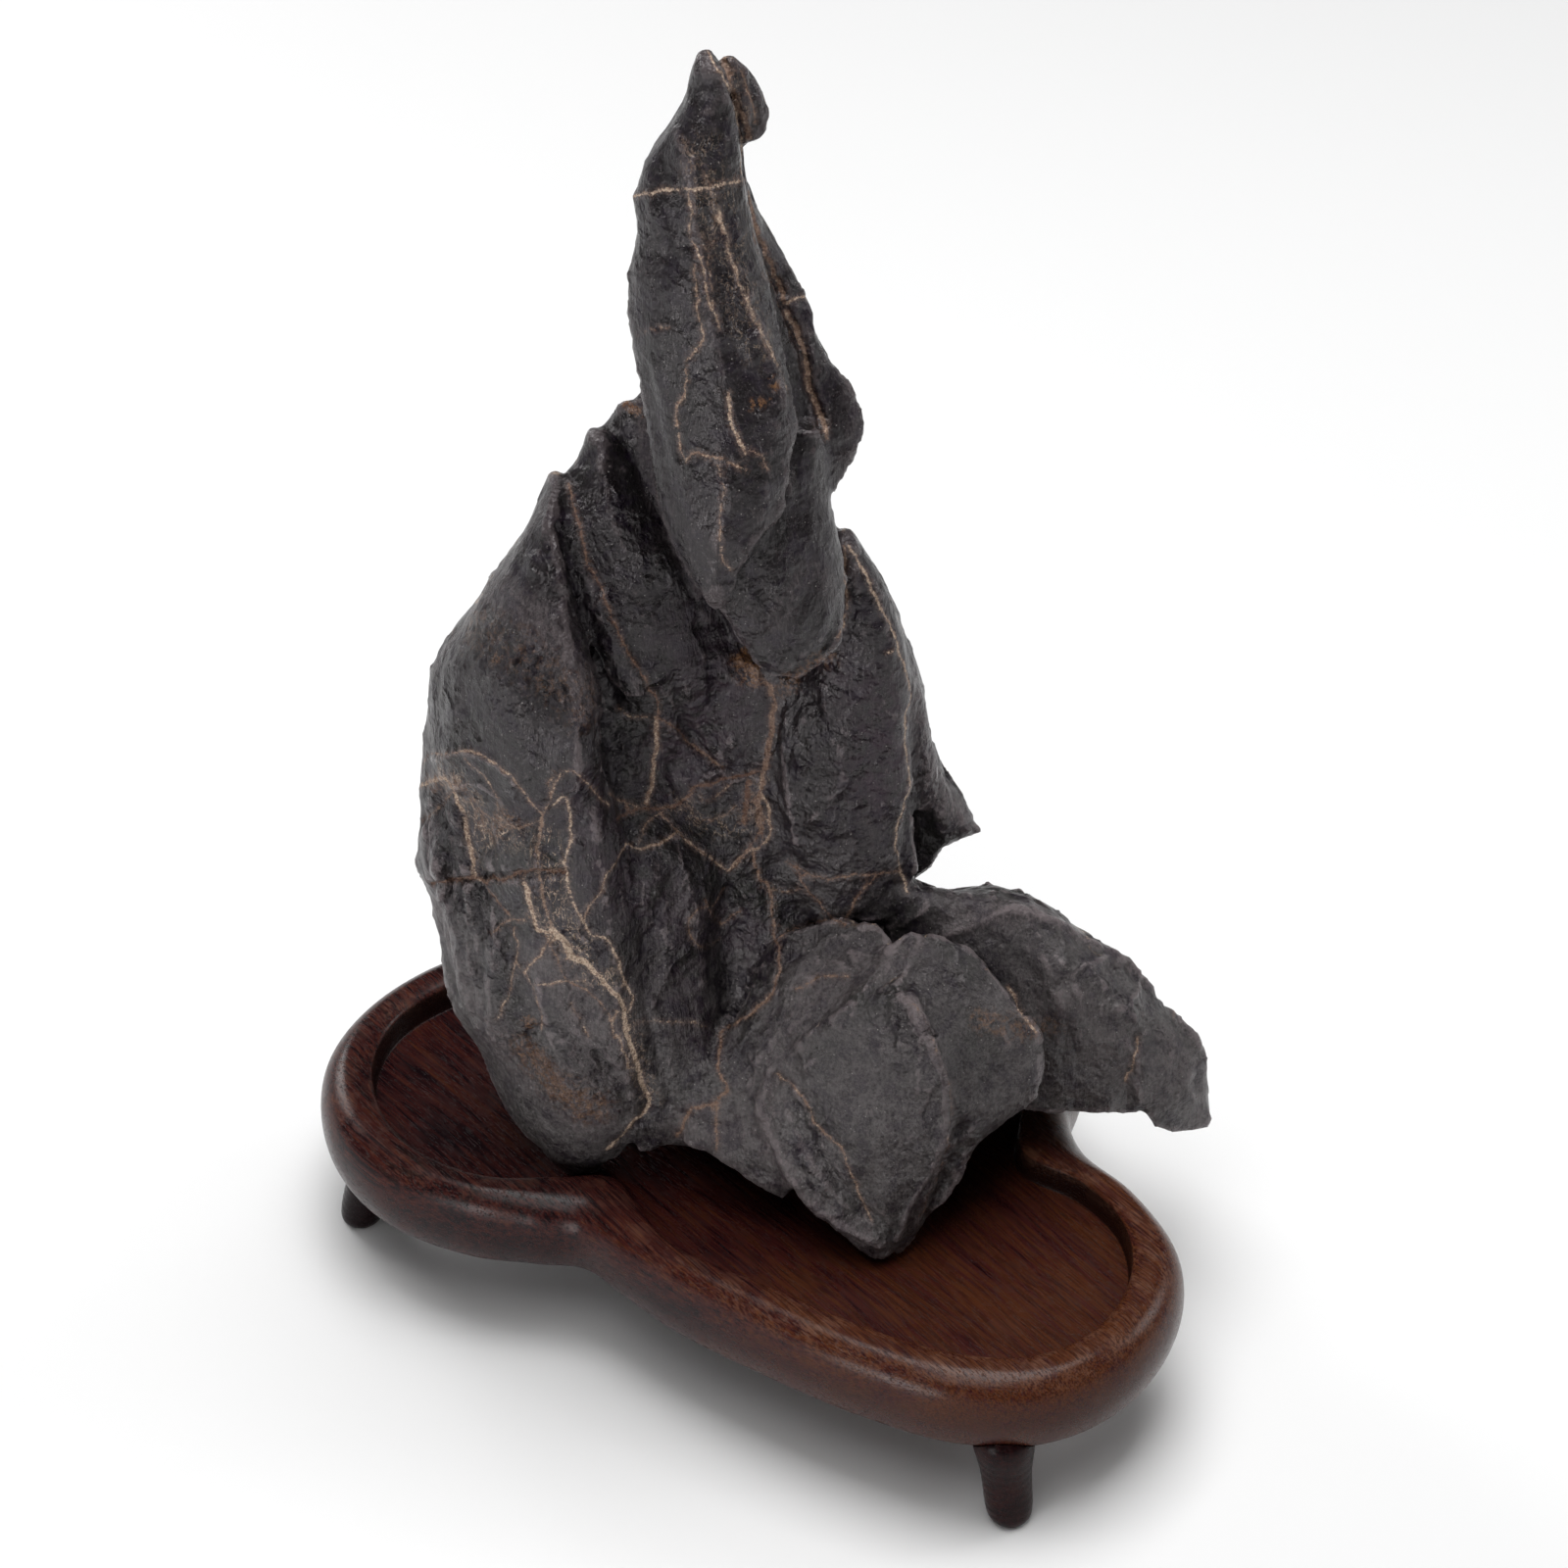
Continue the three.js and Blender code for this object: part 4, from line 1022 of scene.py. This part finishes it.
class Nodes:
    """One material's nodes. A socket given as an input is linked, and a number is set."""

    def __init__(self, name):
        self.material = bpy.data.materials.new(name)
        self.material.use_nodes = True
        self.tree = self.material.node_tree
        self.shader = self.tree.nodes["Principled BSDF"]

    def set(self, node, name, value):
        socket = node.inputs[name]
        if isinstance(value, bpy.types.NodeSocket):
            self.tree.links.new(value, socket)
        elif isinstance(value, tuple) and len(value) == 3 and socket.type == "RGBA":
            socket.default_value = (*value, 1)
        else:
            socket.default_value = value

    def add(self, kind, inputs=(), **settings):
        node = self.tree.nodes.new("ShaderNode" + kind)
        for name, value in settings.items():
            setattr(node, name, value)
        for name, value in dict(inputs).items():
            self.set(node, name, value)
        return node

    def places(self, scale=(1, 1, 1), turn=0.0):
        """The object's own coordinates in mm, turned about Z and then scaled."""
        spot = self.add("TexCoord").outputs["Object"]
        turned = self.add("Mapping", {"Vector": spot, "Rotation": (0, 0, turn)}).outputs[0]
        size = tuple(part / MM for part in scale)
        return self.add("Mapping", {"Vector": turned, "Scale": size}).outputs[0]

    def value(self, name):
        return self.add("Attribute", attribute_name=name).outputs["Fac"]

    def sum(self, operation, first, second=0.0):
        return self.add("Math", {0: first, 1: second}, operation=operation).outputs[0]

    def times(self, first, second):
        return self.sum("MULTIPLY", first, second)

    def plus(self, first, second):
        return self.sum("ADD", first, second)

    def swing(self, noise, size):
        """A change of up to half the size either way."""
        return self.times(self.plus(noise, -0.5), size)

    def moved(self, places, shift, distance):
        """The places with the shift, times the distance, added."""
        reach = self.add("VectorMath", {0: shift, 3: distance}, operation="SCALE").outputs[0]
        return self.add("VectorMath", {0: places, 1: reach}, operation="ADD").outputs[0]

    def within(self, value, low, high, start=0.0, end=1.0):
        """Smoothly from start at low to end at high."""
        return self.add(
            "MapRange",
            {"Value": value, "From Min": low, "From Max": high, "To Min": start, "To Max": end},
            interpolation_type="SMOOTHSTEP",
        ).outputs["Result"]

    def noise(self, places, scale, detail=4.0, roughness=0.55, distortion=0.0):
        return self.add(
            "TexNoise",
            {"Vector": places, "Scale": scale, "Detail": detail, "Roughness": roughness,
             "Distortion": distortion},
        ).outputs["Fac"]

    def drift(self, places, scale, detail):
        """Three noises in one, to move places by."""
        inputs = {"Vector": places, "Scale": scale, "Detail": detail}
        return self.add("TexNoise", inputs).outputs["Color"]

    def mix(self, share, first, second):
        """first where share is 0 and second where it is 1."""
        node = self.add("Mix", data_type="RGBA", clamp_factor=True)
        self.set(node, 0, share)
        self.set(node, 6, first)
        self.set(node, 7, second)
        return node.outputs[2]

    def bump(self, height, distance, strength=1.0, normal=None):
        node = self.add("Bump", {"Height": height, "Distance": distance * MM, "Strength": strength})
        if normal is not None:
            self.set(node, "Normal", normal)
        return node.outputs[0]

    def finish(self, **inputs):
        for name, value in inputs.items():
            self.set(self.shader, name.replace("_", " "), value)
        return self.material


CHARCOAL = (0.0108, 0.0082, 0.0092)
GREEN_GREY = (0.0122, 0.0124, 0.0108)
# Purple-black tone, also painted as shade in the large hollows
PURPLE_BLACK = (0.0078, 0.0040, 0.0112)
# Black of cracks, also painted as shade in small hollows
CRACK_AND_SHADE_BLACK = (0.004, 0.0022, 0.004)
# Painted shade towards the top
TOP_SHADE_BLACK = (0.0055, 0.0040, 0.0050)
WORN_GREY = (0.130, 0.103, 0.108)
# Pale grey of worn rims, also painted as a highlight on sharp edges
RIM_GREY = (0.230, 0.190, 0.195)
GRAIN_GREY = (0.092, 0.084, 0.083)
MAROON = (0.030, 0.0150, 0.026)
OCHRE = (0.25, 0.125, 0.055)
RUST = (0.100, 0.048, 0.029)
TAN = (0.205, 0.130, 0.092)
CREAM = (0.52, 0.40, 0.30)
CHALK = (0.36, 0.34, 0.32)


def stone_skin(n):
    """The noises and places that several of the stone's layers share."""
    places = n.places()
    upright = n.places(scale=(1, 1, 0.3), turn=-VIEW_AZIMUTH)
    skin = SimpleNamespace(places=places)
    skin.broad = n.noise(places, 0.045, 4)
    skin.middle = n.noise(places, 0.22, 4, 0.6)
    skin.fine = n.noise(places, 1.4, 3, 0.65)
    skin.dust = n.noise(places, 0.95, 4, 0.75)
    skin.mottle = n.noise(places, 0.16, 5, 0.7)
    skin.blotch = n.noise(places, 0.5, 4, 0.7)
    skin.sugar = n.noise(places, 1.5, 3, 0.75)
    skin.scuffs = n.noise(upright, 1.1, 4, 0.75)
    skin.brushed = n.noise(n.places(scale=(1, 1, 0.14), turn=-VIEW_AZIMUTH), 0.9, 3, 0.65)
    skin.height = n.add("SeparateXYZ", {"Vector": places}).outputs[2]
    # The upper part: glossier with wax, and painted darker as shade
    skin.waxed = n.within(skin.height, 150, 280)
    skin.grain = n.times(n.value("grain"), n.within(skin.sugar, 0.42, 0.66))
    skin.small_hollow = n.value("small_hollow")
    # Sharp convex rims: painted with a highlight and made glossier
    skin.sharp = n.within(n.plus(n.value("sharp_hollow"), n.swing(skin.scuffs, 0.5)), -0.14, -0.26)
    return skin


def ground_colour(n, skin):
    """Charcoal by region, with painted shade deepening the large hollows to purple-black."""
    colour = n.mix(n.within(skin.broad, 0.42, 0.62), CHARCOAL, GREEN_GREY)
    colour = n.mix(n.within(skin.middle, 0.45, 0.75, 0, 0.5), colour, PURPLE_BLACK)
    # Painted shade: purple-black deepening in the large hollows
    hollow_shade = n.within(n.plus(n.value("large_hollow"), n.swing(skin.middle, 2.0)), 0.3, 4.0, 0, 0.9)
    colour = n.mix(hollow_shade, colour, PURPLE_BLACK)
    colour = n.mix(n.times(n.value("maroon"), n.within(skin.middle, 0.35, 0.6)), colour, MAROON)
    green = n.times(n.value("green"), n.within(skin.middle, 0.3, 0.6, 0, 0.8))
    colour = n.mix(green, colour, GREEN_GREY)
    colour = n.mix(n.within(skin.brushed, 0.5, 0.8, 0, 0.3), colour, WORN_GREY)
    return n.mix(n.within(skin.dust, 0.55, 0.8, 0, 0.3), colour, WORN_GREY)


def add_wear_highlights_and_crevice_shade(n, skin, colour):
    """Paler in worn patches that are partly painted highlight, painted highlights along edges and
    sharp rims, and black in cracks and small hollows, partly painted shade.
    """
    # Worn patches, paler and partly painted highlight
    rubbed_and_lit = n.times(n.value("rubbed_and_lit"), n.within(skin.scuffs, 0.4, 0.6, 0.1, 0.9))
    colour = n.mix(rubbed_and_lit, colour, n.mix(n.within(skin.scuffs, 0.45, 0.7), WORN_GREY, RIM_GREY))
    # Painted highlight along convex edges, and a brighter one on the sharp rims
    edge = n.within(n.plus(skin.small_hollow, n.swing(skin.scuffs, 0.9)), -0.3, -0.75, 0, 0.4)
    colour = n.mix(edge, colour, WORN_GREY)
    colour = n.mix(n.times(skin.sharp, 0.4), colour, RIM_GREY)
    # Black in small hollows: dark cracks, with painted crevice shade
    return n.mix(n.within(skin.small_hollow, 0.3, 0.95, 0, 0.9), colour, CRACK_AND_SHADE_BLACK)


def add_height_shade_and_dust(n, skin, colour):
    """Darker towards the top as painted shade, and paler on the lower parts: dust, and painted
    bounce light.
    """
    # Painted shade: darker towards the top
    colour = n.mix(n.times(skin.waxed, 0.6), colour, TOP_SHADE_BLACK)
    # Paler on the lower parts: dust, and painted light where the floor's bounce falls
    low = n.within(n.plus(skin.height, n.swing(skin.broad, 160)), 185, 85)
    dust_and_bounce = n.plus(n.times(skin.dust, 0.6), n.times(skin.mottle, 0.4))
    colour = n.mix(n.times(low, n.within(dust_and_bounce, 0.44, 0.58, 0.05, 0.8)), colour, GRAIN_GREY)
    return n.mix(n.within(skin.mottle, 0.5, 0.38, 0, 0.55), colour, PURPLE_BLACK)


def add_grain(n, skin, colour):
    """Granular faces, with a sugary sparkle."""
    colour = n.mix(n.times(skin.grain, 0.6), colour, GRAIN_GREY)
    specks = n.add("TexVoronoi", {"Vector": skin.places, "Scale": 0.75, "Randomness": 1.0})
    lone = n.within(specks.outputs["Distance"], 0.18, 0.1)
    chosen = n.add("SeparateColor", {"Color": specks.outputs["Color"]})
    rare = n.within(chosen.outputs[0], 0.8, 0.9)
    colour = n.mix(n.times(n.times(lone, rare), 0.6), colour, CHALK)
    salt = n.noise(skin.places, 1.25, 2, 0.9)
    return n.mix(n.within(salt, 0.6, 0.74, 0, 0.6), colour, WORN_GREY)


def add_stains(n, skin, colour):
    """Ochre patches, and pale patches of lace and crumbs."""
    stain = n.value("ochre")
    ochre = n.times(stain, n.within(n.plus(n.times(stain, 0.16), skin.blotch), 0.52, 0.64))
    colour = n.mix(n.times(ochre, 0.85), colour, n.mix(n.within(skin.fine, 0.4, 0.6), RUST, OCHRE))
    threads = n.noise(n.places(scale=(1, 1, 0.45), turn=-VIEW_AZIMUTH), 0.36, 5, 0.6, 0.8)
    lace = n.within(n.sum("ABSOLUTE", n.plus(threads, -0.5)), 0.026, 0.006)
    lace = n.times(lace, n.within(skin.mottle, 0.4, 0.5))
    crumb = n.within(skin.dust, 0.6, 0.68, 0, 0.8)
    pale = n.times(n.value("pale"), n.sum("MAXIMUM", lace, crumb))
    return n.mix(pale, colour, n.mix(n.within(skin.fine, 0.45, 0.6), TAN, CREAM))


def add_veins(n, skin, colour):
    """Veins, crumbly at their edges and broken where they are weak, each in a faint halo."""
    gap = n.value("vein_gap")
    tone = n.value("vein_tone")
    crumbs = n.swing(n.noise(skin.places, 2.1, 3, 0.8), 1.7)
    skin.ragged = n.plus(crumbs, n.swing(n.noise(skin.places, 0.45, 3), 1.3))
    present = n.plus(n.value("vein_strength"), n.swing(n.noise(skin.places, 0.3, 4), 1.8))
    whole = n.within(present, 0.35, 0.7)
    halo = n.within(n.plus(gap, n.times(skin.ragged, 1.5)), 1.5, 0.0, 0, 0.5)
    halo = n.times(halo, n.times(n.plus(n.times(whole, 0.6), 0.4), n.within(skin.dust, 0.4, 0.6)))
    halo_colour = n.mix(n.times(tone, 0.8), n.mix(0.5, WORN_GREY, TAN), RUST)
    colour = n.mix(halo, colour, halo_colour)
    mottled = n.plus(tone, n.swing(skin.fine, 2.4))
    vein_colour = n.mix(n.within(mottled, -0.1, 0.4), CREAM, TAN)
    vein_colour = n.mix(n.within(mottled, 0.5, 0.95), vein_colour, RUST)
    vein_colour = n.mix(n.within(skin.dust, 0.5, 0.36, 0, 0.5), vein_colour, MAROON)
    skin.vein = n.times(n.within(n.plus(gap, skin.ragged), 0.12, -0.28), whole)
    return n.mix(skin.vein, colour, vein_colour)


def add_far_hairlines(n, skin, colour):
    """Hairline veins of the far sides, where cells of warped space meet."""
    warp = n.drift(skin.places, 0.05, 4.0)
    straight = n.places(scale=(0.02, 0.02, 0.013))
    bent = n.add("MixRGB", {"Fac": 0.5, "Color1": straight, "Color2": warp}, blend_type="ADD")
    cells = n.add(
        "TexVoronoi", {"Vector": bent.outputs[0], "Scale": 1.3}, feature="DISTANCE_TO_EDGE"
    )
    hair = n.within(n.plus(cells.outputs["Distance"], n.times(skin.ragged, 0.008)), 0.014, 0.004)
    far = n.sum("SUBTRACT", 1.0, n.value("seen_side"))
    hair = n.times(n.times(hair, far), n.within(skin.broad, 0.44, 0.58))
    hair_colour = n.mix(n.within(skin.blotch, 0.4, 0.6), CREAM, RUST)
    return n.mix(n.times(hair, 0.85), colour, hair_colour)


def roughened_share(n, skin):
    """How rough the surface is: most in folds, pits and chips, and least on granular faces."""
    share = n.plus(n.plus(n.value("folded"), n.value("pitted")), n.times(n.value("chipped"), 0.7))
    share = n.plus(share, n.within(n.noise(skin.places, 0.035, 3), 0.45, 0.62, 0.08, 0.4))
    return n.times(share, n.within(n.value("grain"), 0.2, 1.0, 1.0, 0.4))


def scallops(n, places, scale):
    """Rounded hollows that meet at sharp rims."""
    distance = n.add("TexVoronoi", {"Vector": places, "Scale": scale}).outputs["Distance"]
    return n.times(distance, distance)


def stone_relief(n, skin):
    """Crumpled skin, scalloped faces and the grain on them: each layer's share and height in mm."""
    roughened = roughened_share(n, skin)
    crumple = n.add("TexNoise", {"Vector": n.places(scale=(1, 1, 0.55), turn=-VIEW_AZIMUTH),
                                 "Scale": 0.09, "Detail": 2.5, "Roughness": 0.42, "Offset": 1.0,
                                 "Gain": 2.0}, noise_type="RIDGED_MULTIFRACTAL").outputs["Fac"]
    swerve = n.drift(skin.places, 0.1, 3.0)
    swerved = n.moved(n.places(scale=(1, 1, 0.6), turn=-VIEW_AZIMUTH), swerve, 12.0)
    relief = n.times(skin.brushed, 0.4)
    for texture, share, height in (
        (crumple, roughened, 0.9),
        (n.noise(skin.places, 0.42, 3, 0.5), n.plus(roughened, 0.2), 1.8),
        (scallops(n, swerved, 0.09), n.plus(roughened, 0.25), 4.0),
        (scallops(n, swerved, 0.24), n.plus(roughened, 0.1), 1.5),
        (skin.scuffs, n.value("rubbed_and_lit"), 0.64),
        (n.noise(skin.places, 0.9, 3, 0.75), n.value("pitted"), 1.1),
        (skin.sugar, n.plus(n.value("grain"), 0.35), 0.2),
    ):
        relief = n.plus(relief, n.times(n.times(texture, share), height))
    return n.bump(relief, 1.0)


def stone_roughness(n, skin):
    rough = n.within(skin.middle, 0.3, 0.7, 0.28, 0.44)
    rough = n.plus(rough, n.times(skin.vein, 0.3))
    rough = n.plus(rough, n.times(n.plus(skin.waxed, skin.sharp), -0.05))
    return n.plus(rough, n.times(skin.grain, 0.15))


def stone_material():
    n = Nodes("lingbi_limestone")
    skin = stone_skin(n)
    colour = ground_colour(n, skin)
    for layer in (add_wear_highlights_and_crevice_shade, add_height_shade_and_dust, add_grain, add_stains, add_veins, add_far_hairlines):
        colour = layer(n, skin, colour)
    rough = stone_roughness(n, skin)
    return n.finish(Base_Color=colour, Roughness=rough, Normal=stone_relief(n, skin),
                    Specular_IOR_Level=0.45, Specular_Tint=(1.0, 0.94, 0.96, 1.0))


MAROON_WOOD = (0.0055, 0.0010, 0.0022)
RED_WOOD = (0.048, 0.0100, 0.0085)
AMBER_WOOD = (0.080, 0.023, 0.0078)
PORE = (0.008, 0.0035, 0.003)
# Worn pale wood, also a painted sheen on the crest
WORN_SHEEN_WOOD = (0.165, 0.083, 0.053)
FIBRE_TURN = math.radians(22)


def wood_material(name, darkness):
    """Oiled rosewood, cut from one board: amber towards the right and maroon towards the left,
    partly its own tone and partly painted light and shade.
    """
    n = Nodes(name)
    board = n.places(turn=FIBRE_TURN)
    waves = n.drift(n.places(scale=(0.3, 1, 1), turn=FIBRE_TURN), 0.03, 2.0)
    wavy = n.moved(board, waves, 9.0)

    def along(across_scale, length_scale):
        scale = (length_scale, across_scale, across_scale)
        return n.add("Mapping", {"Vector": wavy, "Scale": scale}).outputs[0]

    bands = n.noise(along(0.11, 0.012), 1.0, 4, 0.6)
    streaks = n.noise(along(0.8, 0.03), 1.0, 4, 0.7)
    fibres = n.noise(along(2.0, 0.05), 1.0, 3, 0.65)
    pores = n.noise(along(2.4, 0.3), 1.0, 2, 0.5)
    cloud = n.noise(board, 0.03, 3)
    spot = n.add("SeparateXYZ", {"Vector": n.add("TexCoord").outputs["Object"]})
    # Lighter and more amber towards the right: partly the wood's own tone, partly painted light,
    # with painted shade on the left
    right = n.within(spot.outputs[0], -0.03, 0.085)
    lift = n.plus(n.times(right, 0.36), n.swing(cloud, 0.5))

    tone = n.plus(n.plus(n.swing(bands, 0.8), n.swing(streaks, 2.0)), lift)
    tone = n.plus(tone, 0.28 - 0.4 * darkness)
    colour = n.mix(n.within(tone, 0.0, 0.42), MAROON_WOOD, RED_WOOD)
    colour = n.mix(n.within(tone, 0.34, 0.8), colour, AMBER_WOOD)
    colour = n.mix(n.within(fibres, 0.45, 0.6, 0, 0.55), colour, MAROON_WOOD)
    pore = n.within(pores, 0.58, 0.66)
    colour = n.mix(n.times(pore, 0.35), colour, PORE)
    colour = n.mix(0.35 * darkness, colour, PORE)

    # Painted shade darkens the recess's wall, and a painted dark band along the roll's side stands
    # in for shade and dark reflection there
    colour = n.mix(n.times(n.value("recess_wall"), 0.85), colour, PORE)
    side = n.within(spot.outputs[2], 0.042, 0.053, 0.45, 0)
    colour = n.mix(n.times(side, n.within(streaks, 0.38, 0.56)), colour, MAROON_WOOD)

    # Crest and rim, worn paler by handling and partly a painted highlight, more of it towards the
    # right
    rim = n.within(spot.outputs[2], 0.050, 0.0575)
    rubbed_and_lit = n.times(rim, n.within(n.noise(board, 0.12, 5, 0.65), 0.4, 0.7, 0.1, 0.75))
    flecked = n.times(rubbed_and_lit, n.within(fibres, 0.6, 0.4))
    colour = n.mix(n.times(flecked, n.within(right, 0, 1, 0.35, 0.8)), colour, WORN_SHEEN_WOOD)

    normal = n.bump(streaks, 0.08, 0.35)
    normal = n.bump(n.times(pore, -1.0), 0.08, 0.6, normal)
    normal = n.bump(fibres, 0.06, 0.5, normal)
    rough = n.within(n.noise(board, 0.12, 4), 0.3, 0.7, 0.22, 0.31)
    rough = n.plus(rough, n.times(pore, 0.2))
    return n.finish(Base_Color=colour, Roughness=rough, Normal=normal,
                    Specular_IOR_Level=0.21 - 0.09 * darkness)


# Studio

FLOOR_SIZE = 8
FLOOR_COLOUR = (0.92, 0.92, 0.92)
# Each soft box's place in metres, its size and its power
SOFT_BOXES = {
    "overhead": ((-0.02, 0.1, 1.9), 1.3, 30.5),
    "front": ((0.2, -0.85, 1.65), 0.8, 6),
    "low": ((-0.1, -1.15, 0.15), 0.4, 4),
    "left": ((-1.45, 0.45, 0.75), 0.6, 7),
    "right": ((0.96, 1.13, 0.9), 0.6, 5),
}


def add_light(name, place, size, power):
    data = bpy.data.lights.new(name, "AREA")
    data.size = size
    data.energy = power
    light = bpy.data.objects.new(name, data)
    light.location = place
    toward = Vector(place) - Vector(AIM * MM)
    light.rotation_euler = toward.to_track_quat("Z", "Y").to_euler()
    bpy.context.scene.collection.objects.link(light)


def add_world():
    """White walls near the horizon and a dimmer room above them."""
    world = bpy.data.worlds.new("studio")
    world.use_nodes = True
    tree = world.node_tree
    height = tree.nodes.new("ShaderNodeSeparateXYZ")
    tree.links.new(tree.nodes.new("ShaderNodeTexCoord").outputs["Generated"], height.inputs[0])
    fade = tree.nodes.new("ShaderNodeMapRange")
    fade.interpolation_type = "SMOOTHSTEP"
    for name, value in (("From Min", 0.02), ("From Max", 0.15), ("To Min", 0.8), ("To Max", 0.05)):
        fade.inputs[name].default_value = value
    tree.links.new(height.outputs["Z"], fade.inputs["Value"])
    backdrop = tree.nodes["Background"]
    backdrop.inputs["Color"].default_value = (1, 1, 1, 1)
    tree.links.new(fade.outputs["Result"], backdrop.inputs["Strength"])
    bpy.context.scene.world = world


def make_studio():
    bpy.context.scene.view_settings.view_transform = "Standard"
    add_world()
    bpy.ops.mesh.primitive_plane_add(size=FLOOR_SIZE, location=(0, 0, 0))
    floor = bpy.context.object
    floor.name = "floor"
    n = Nodes("pale_floor")
    floor.data.materials.append(n.finish(Base_Color=FLOOR_COLOUR, Roughness=0.9))
    for name, (place, size, power) in SOFT_BOXES.items():
        add_light(name, place, size, power)


def settle(piece, node):
    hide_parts(node)
    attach(piece, "root")


add_camera()
make_studio()

settle(make_stone(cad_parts["stone"]), "stone")
settle(make_tray(), "tray")
tray_surface, stand_shift = tray_rings()
tray_faces = lofted(tray_surface)
tray_tree = BVHTree.FromPolygons(tray_surface.reshape(-1, 3).tolist(), tray_faces[:-2])
for leg_name, (leg_top, leg_foot) in LEGS.items():
    settle(make_leg(leg_name, leg_top, leg_foot, stand_shift, tray_tree), leg_name)
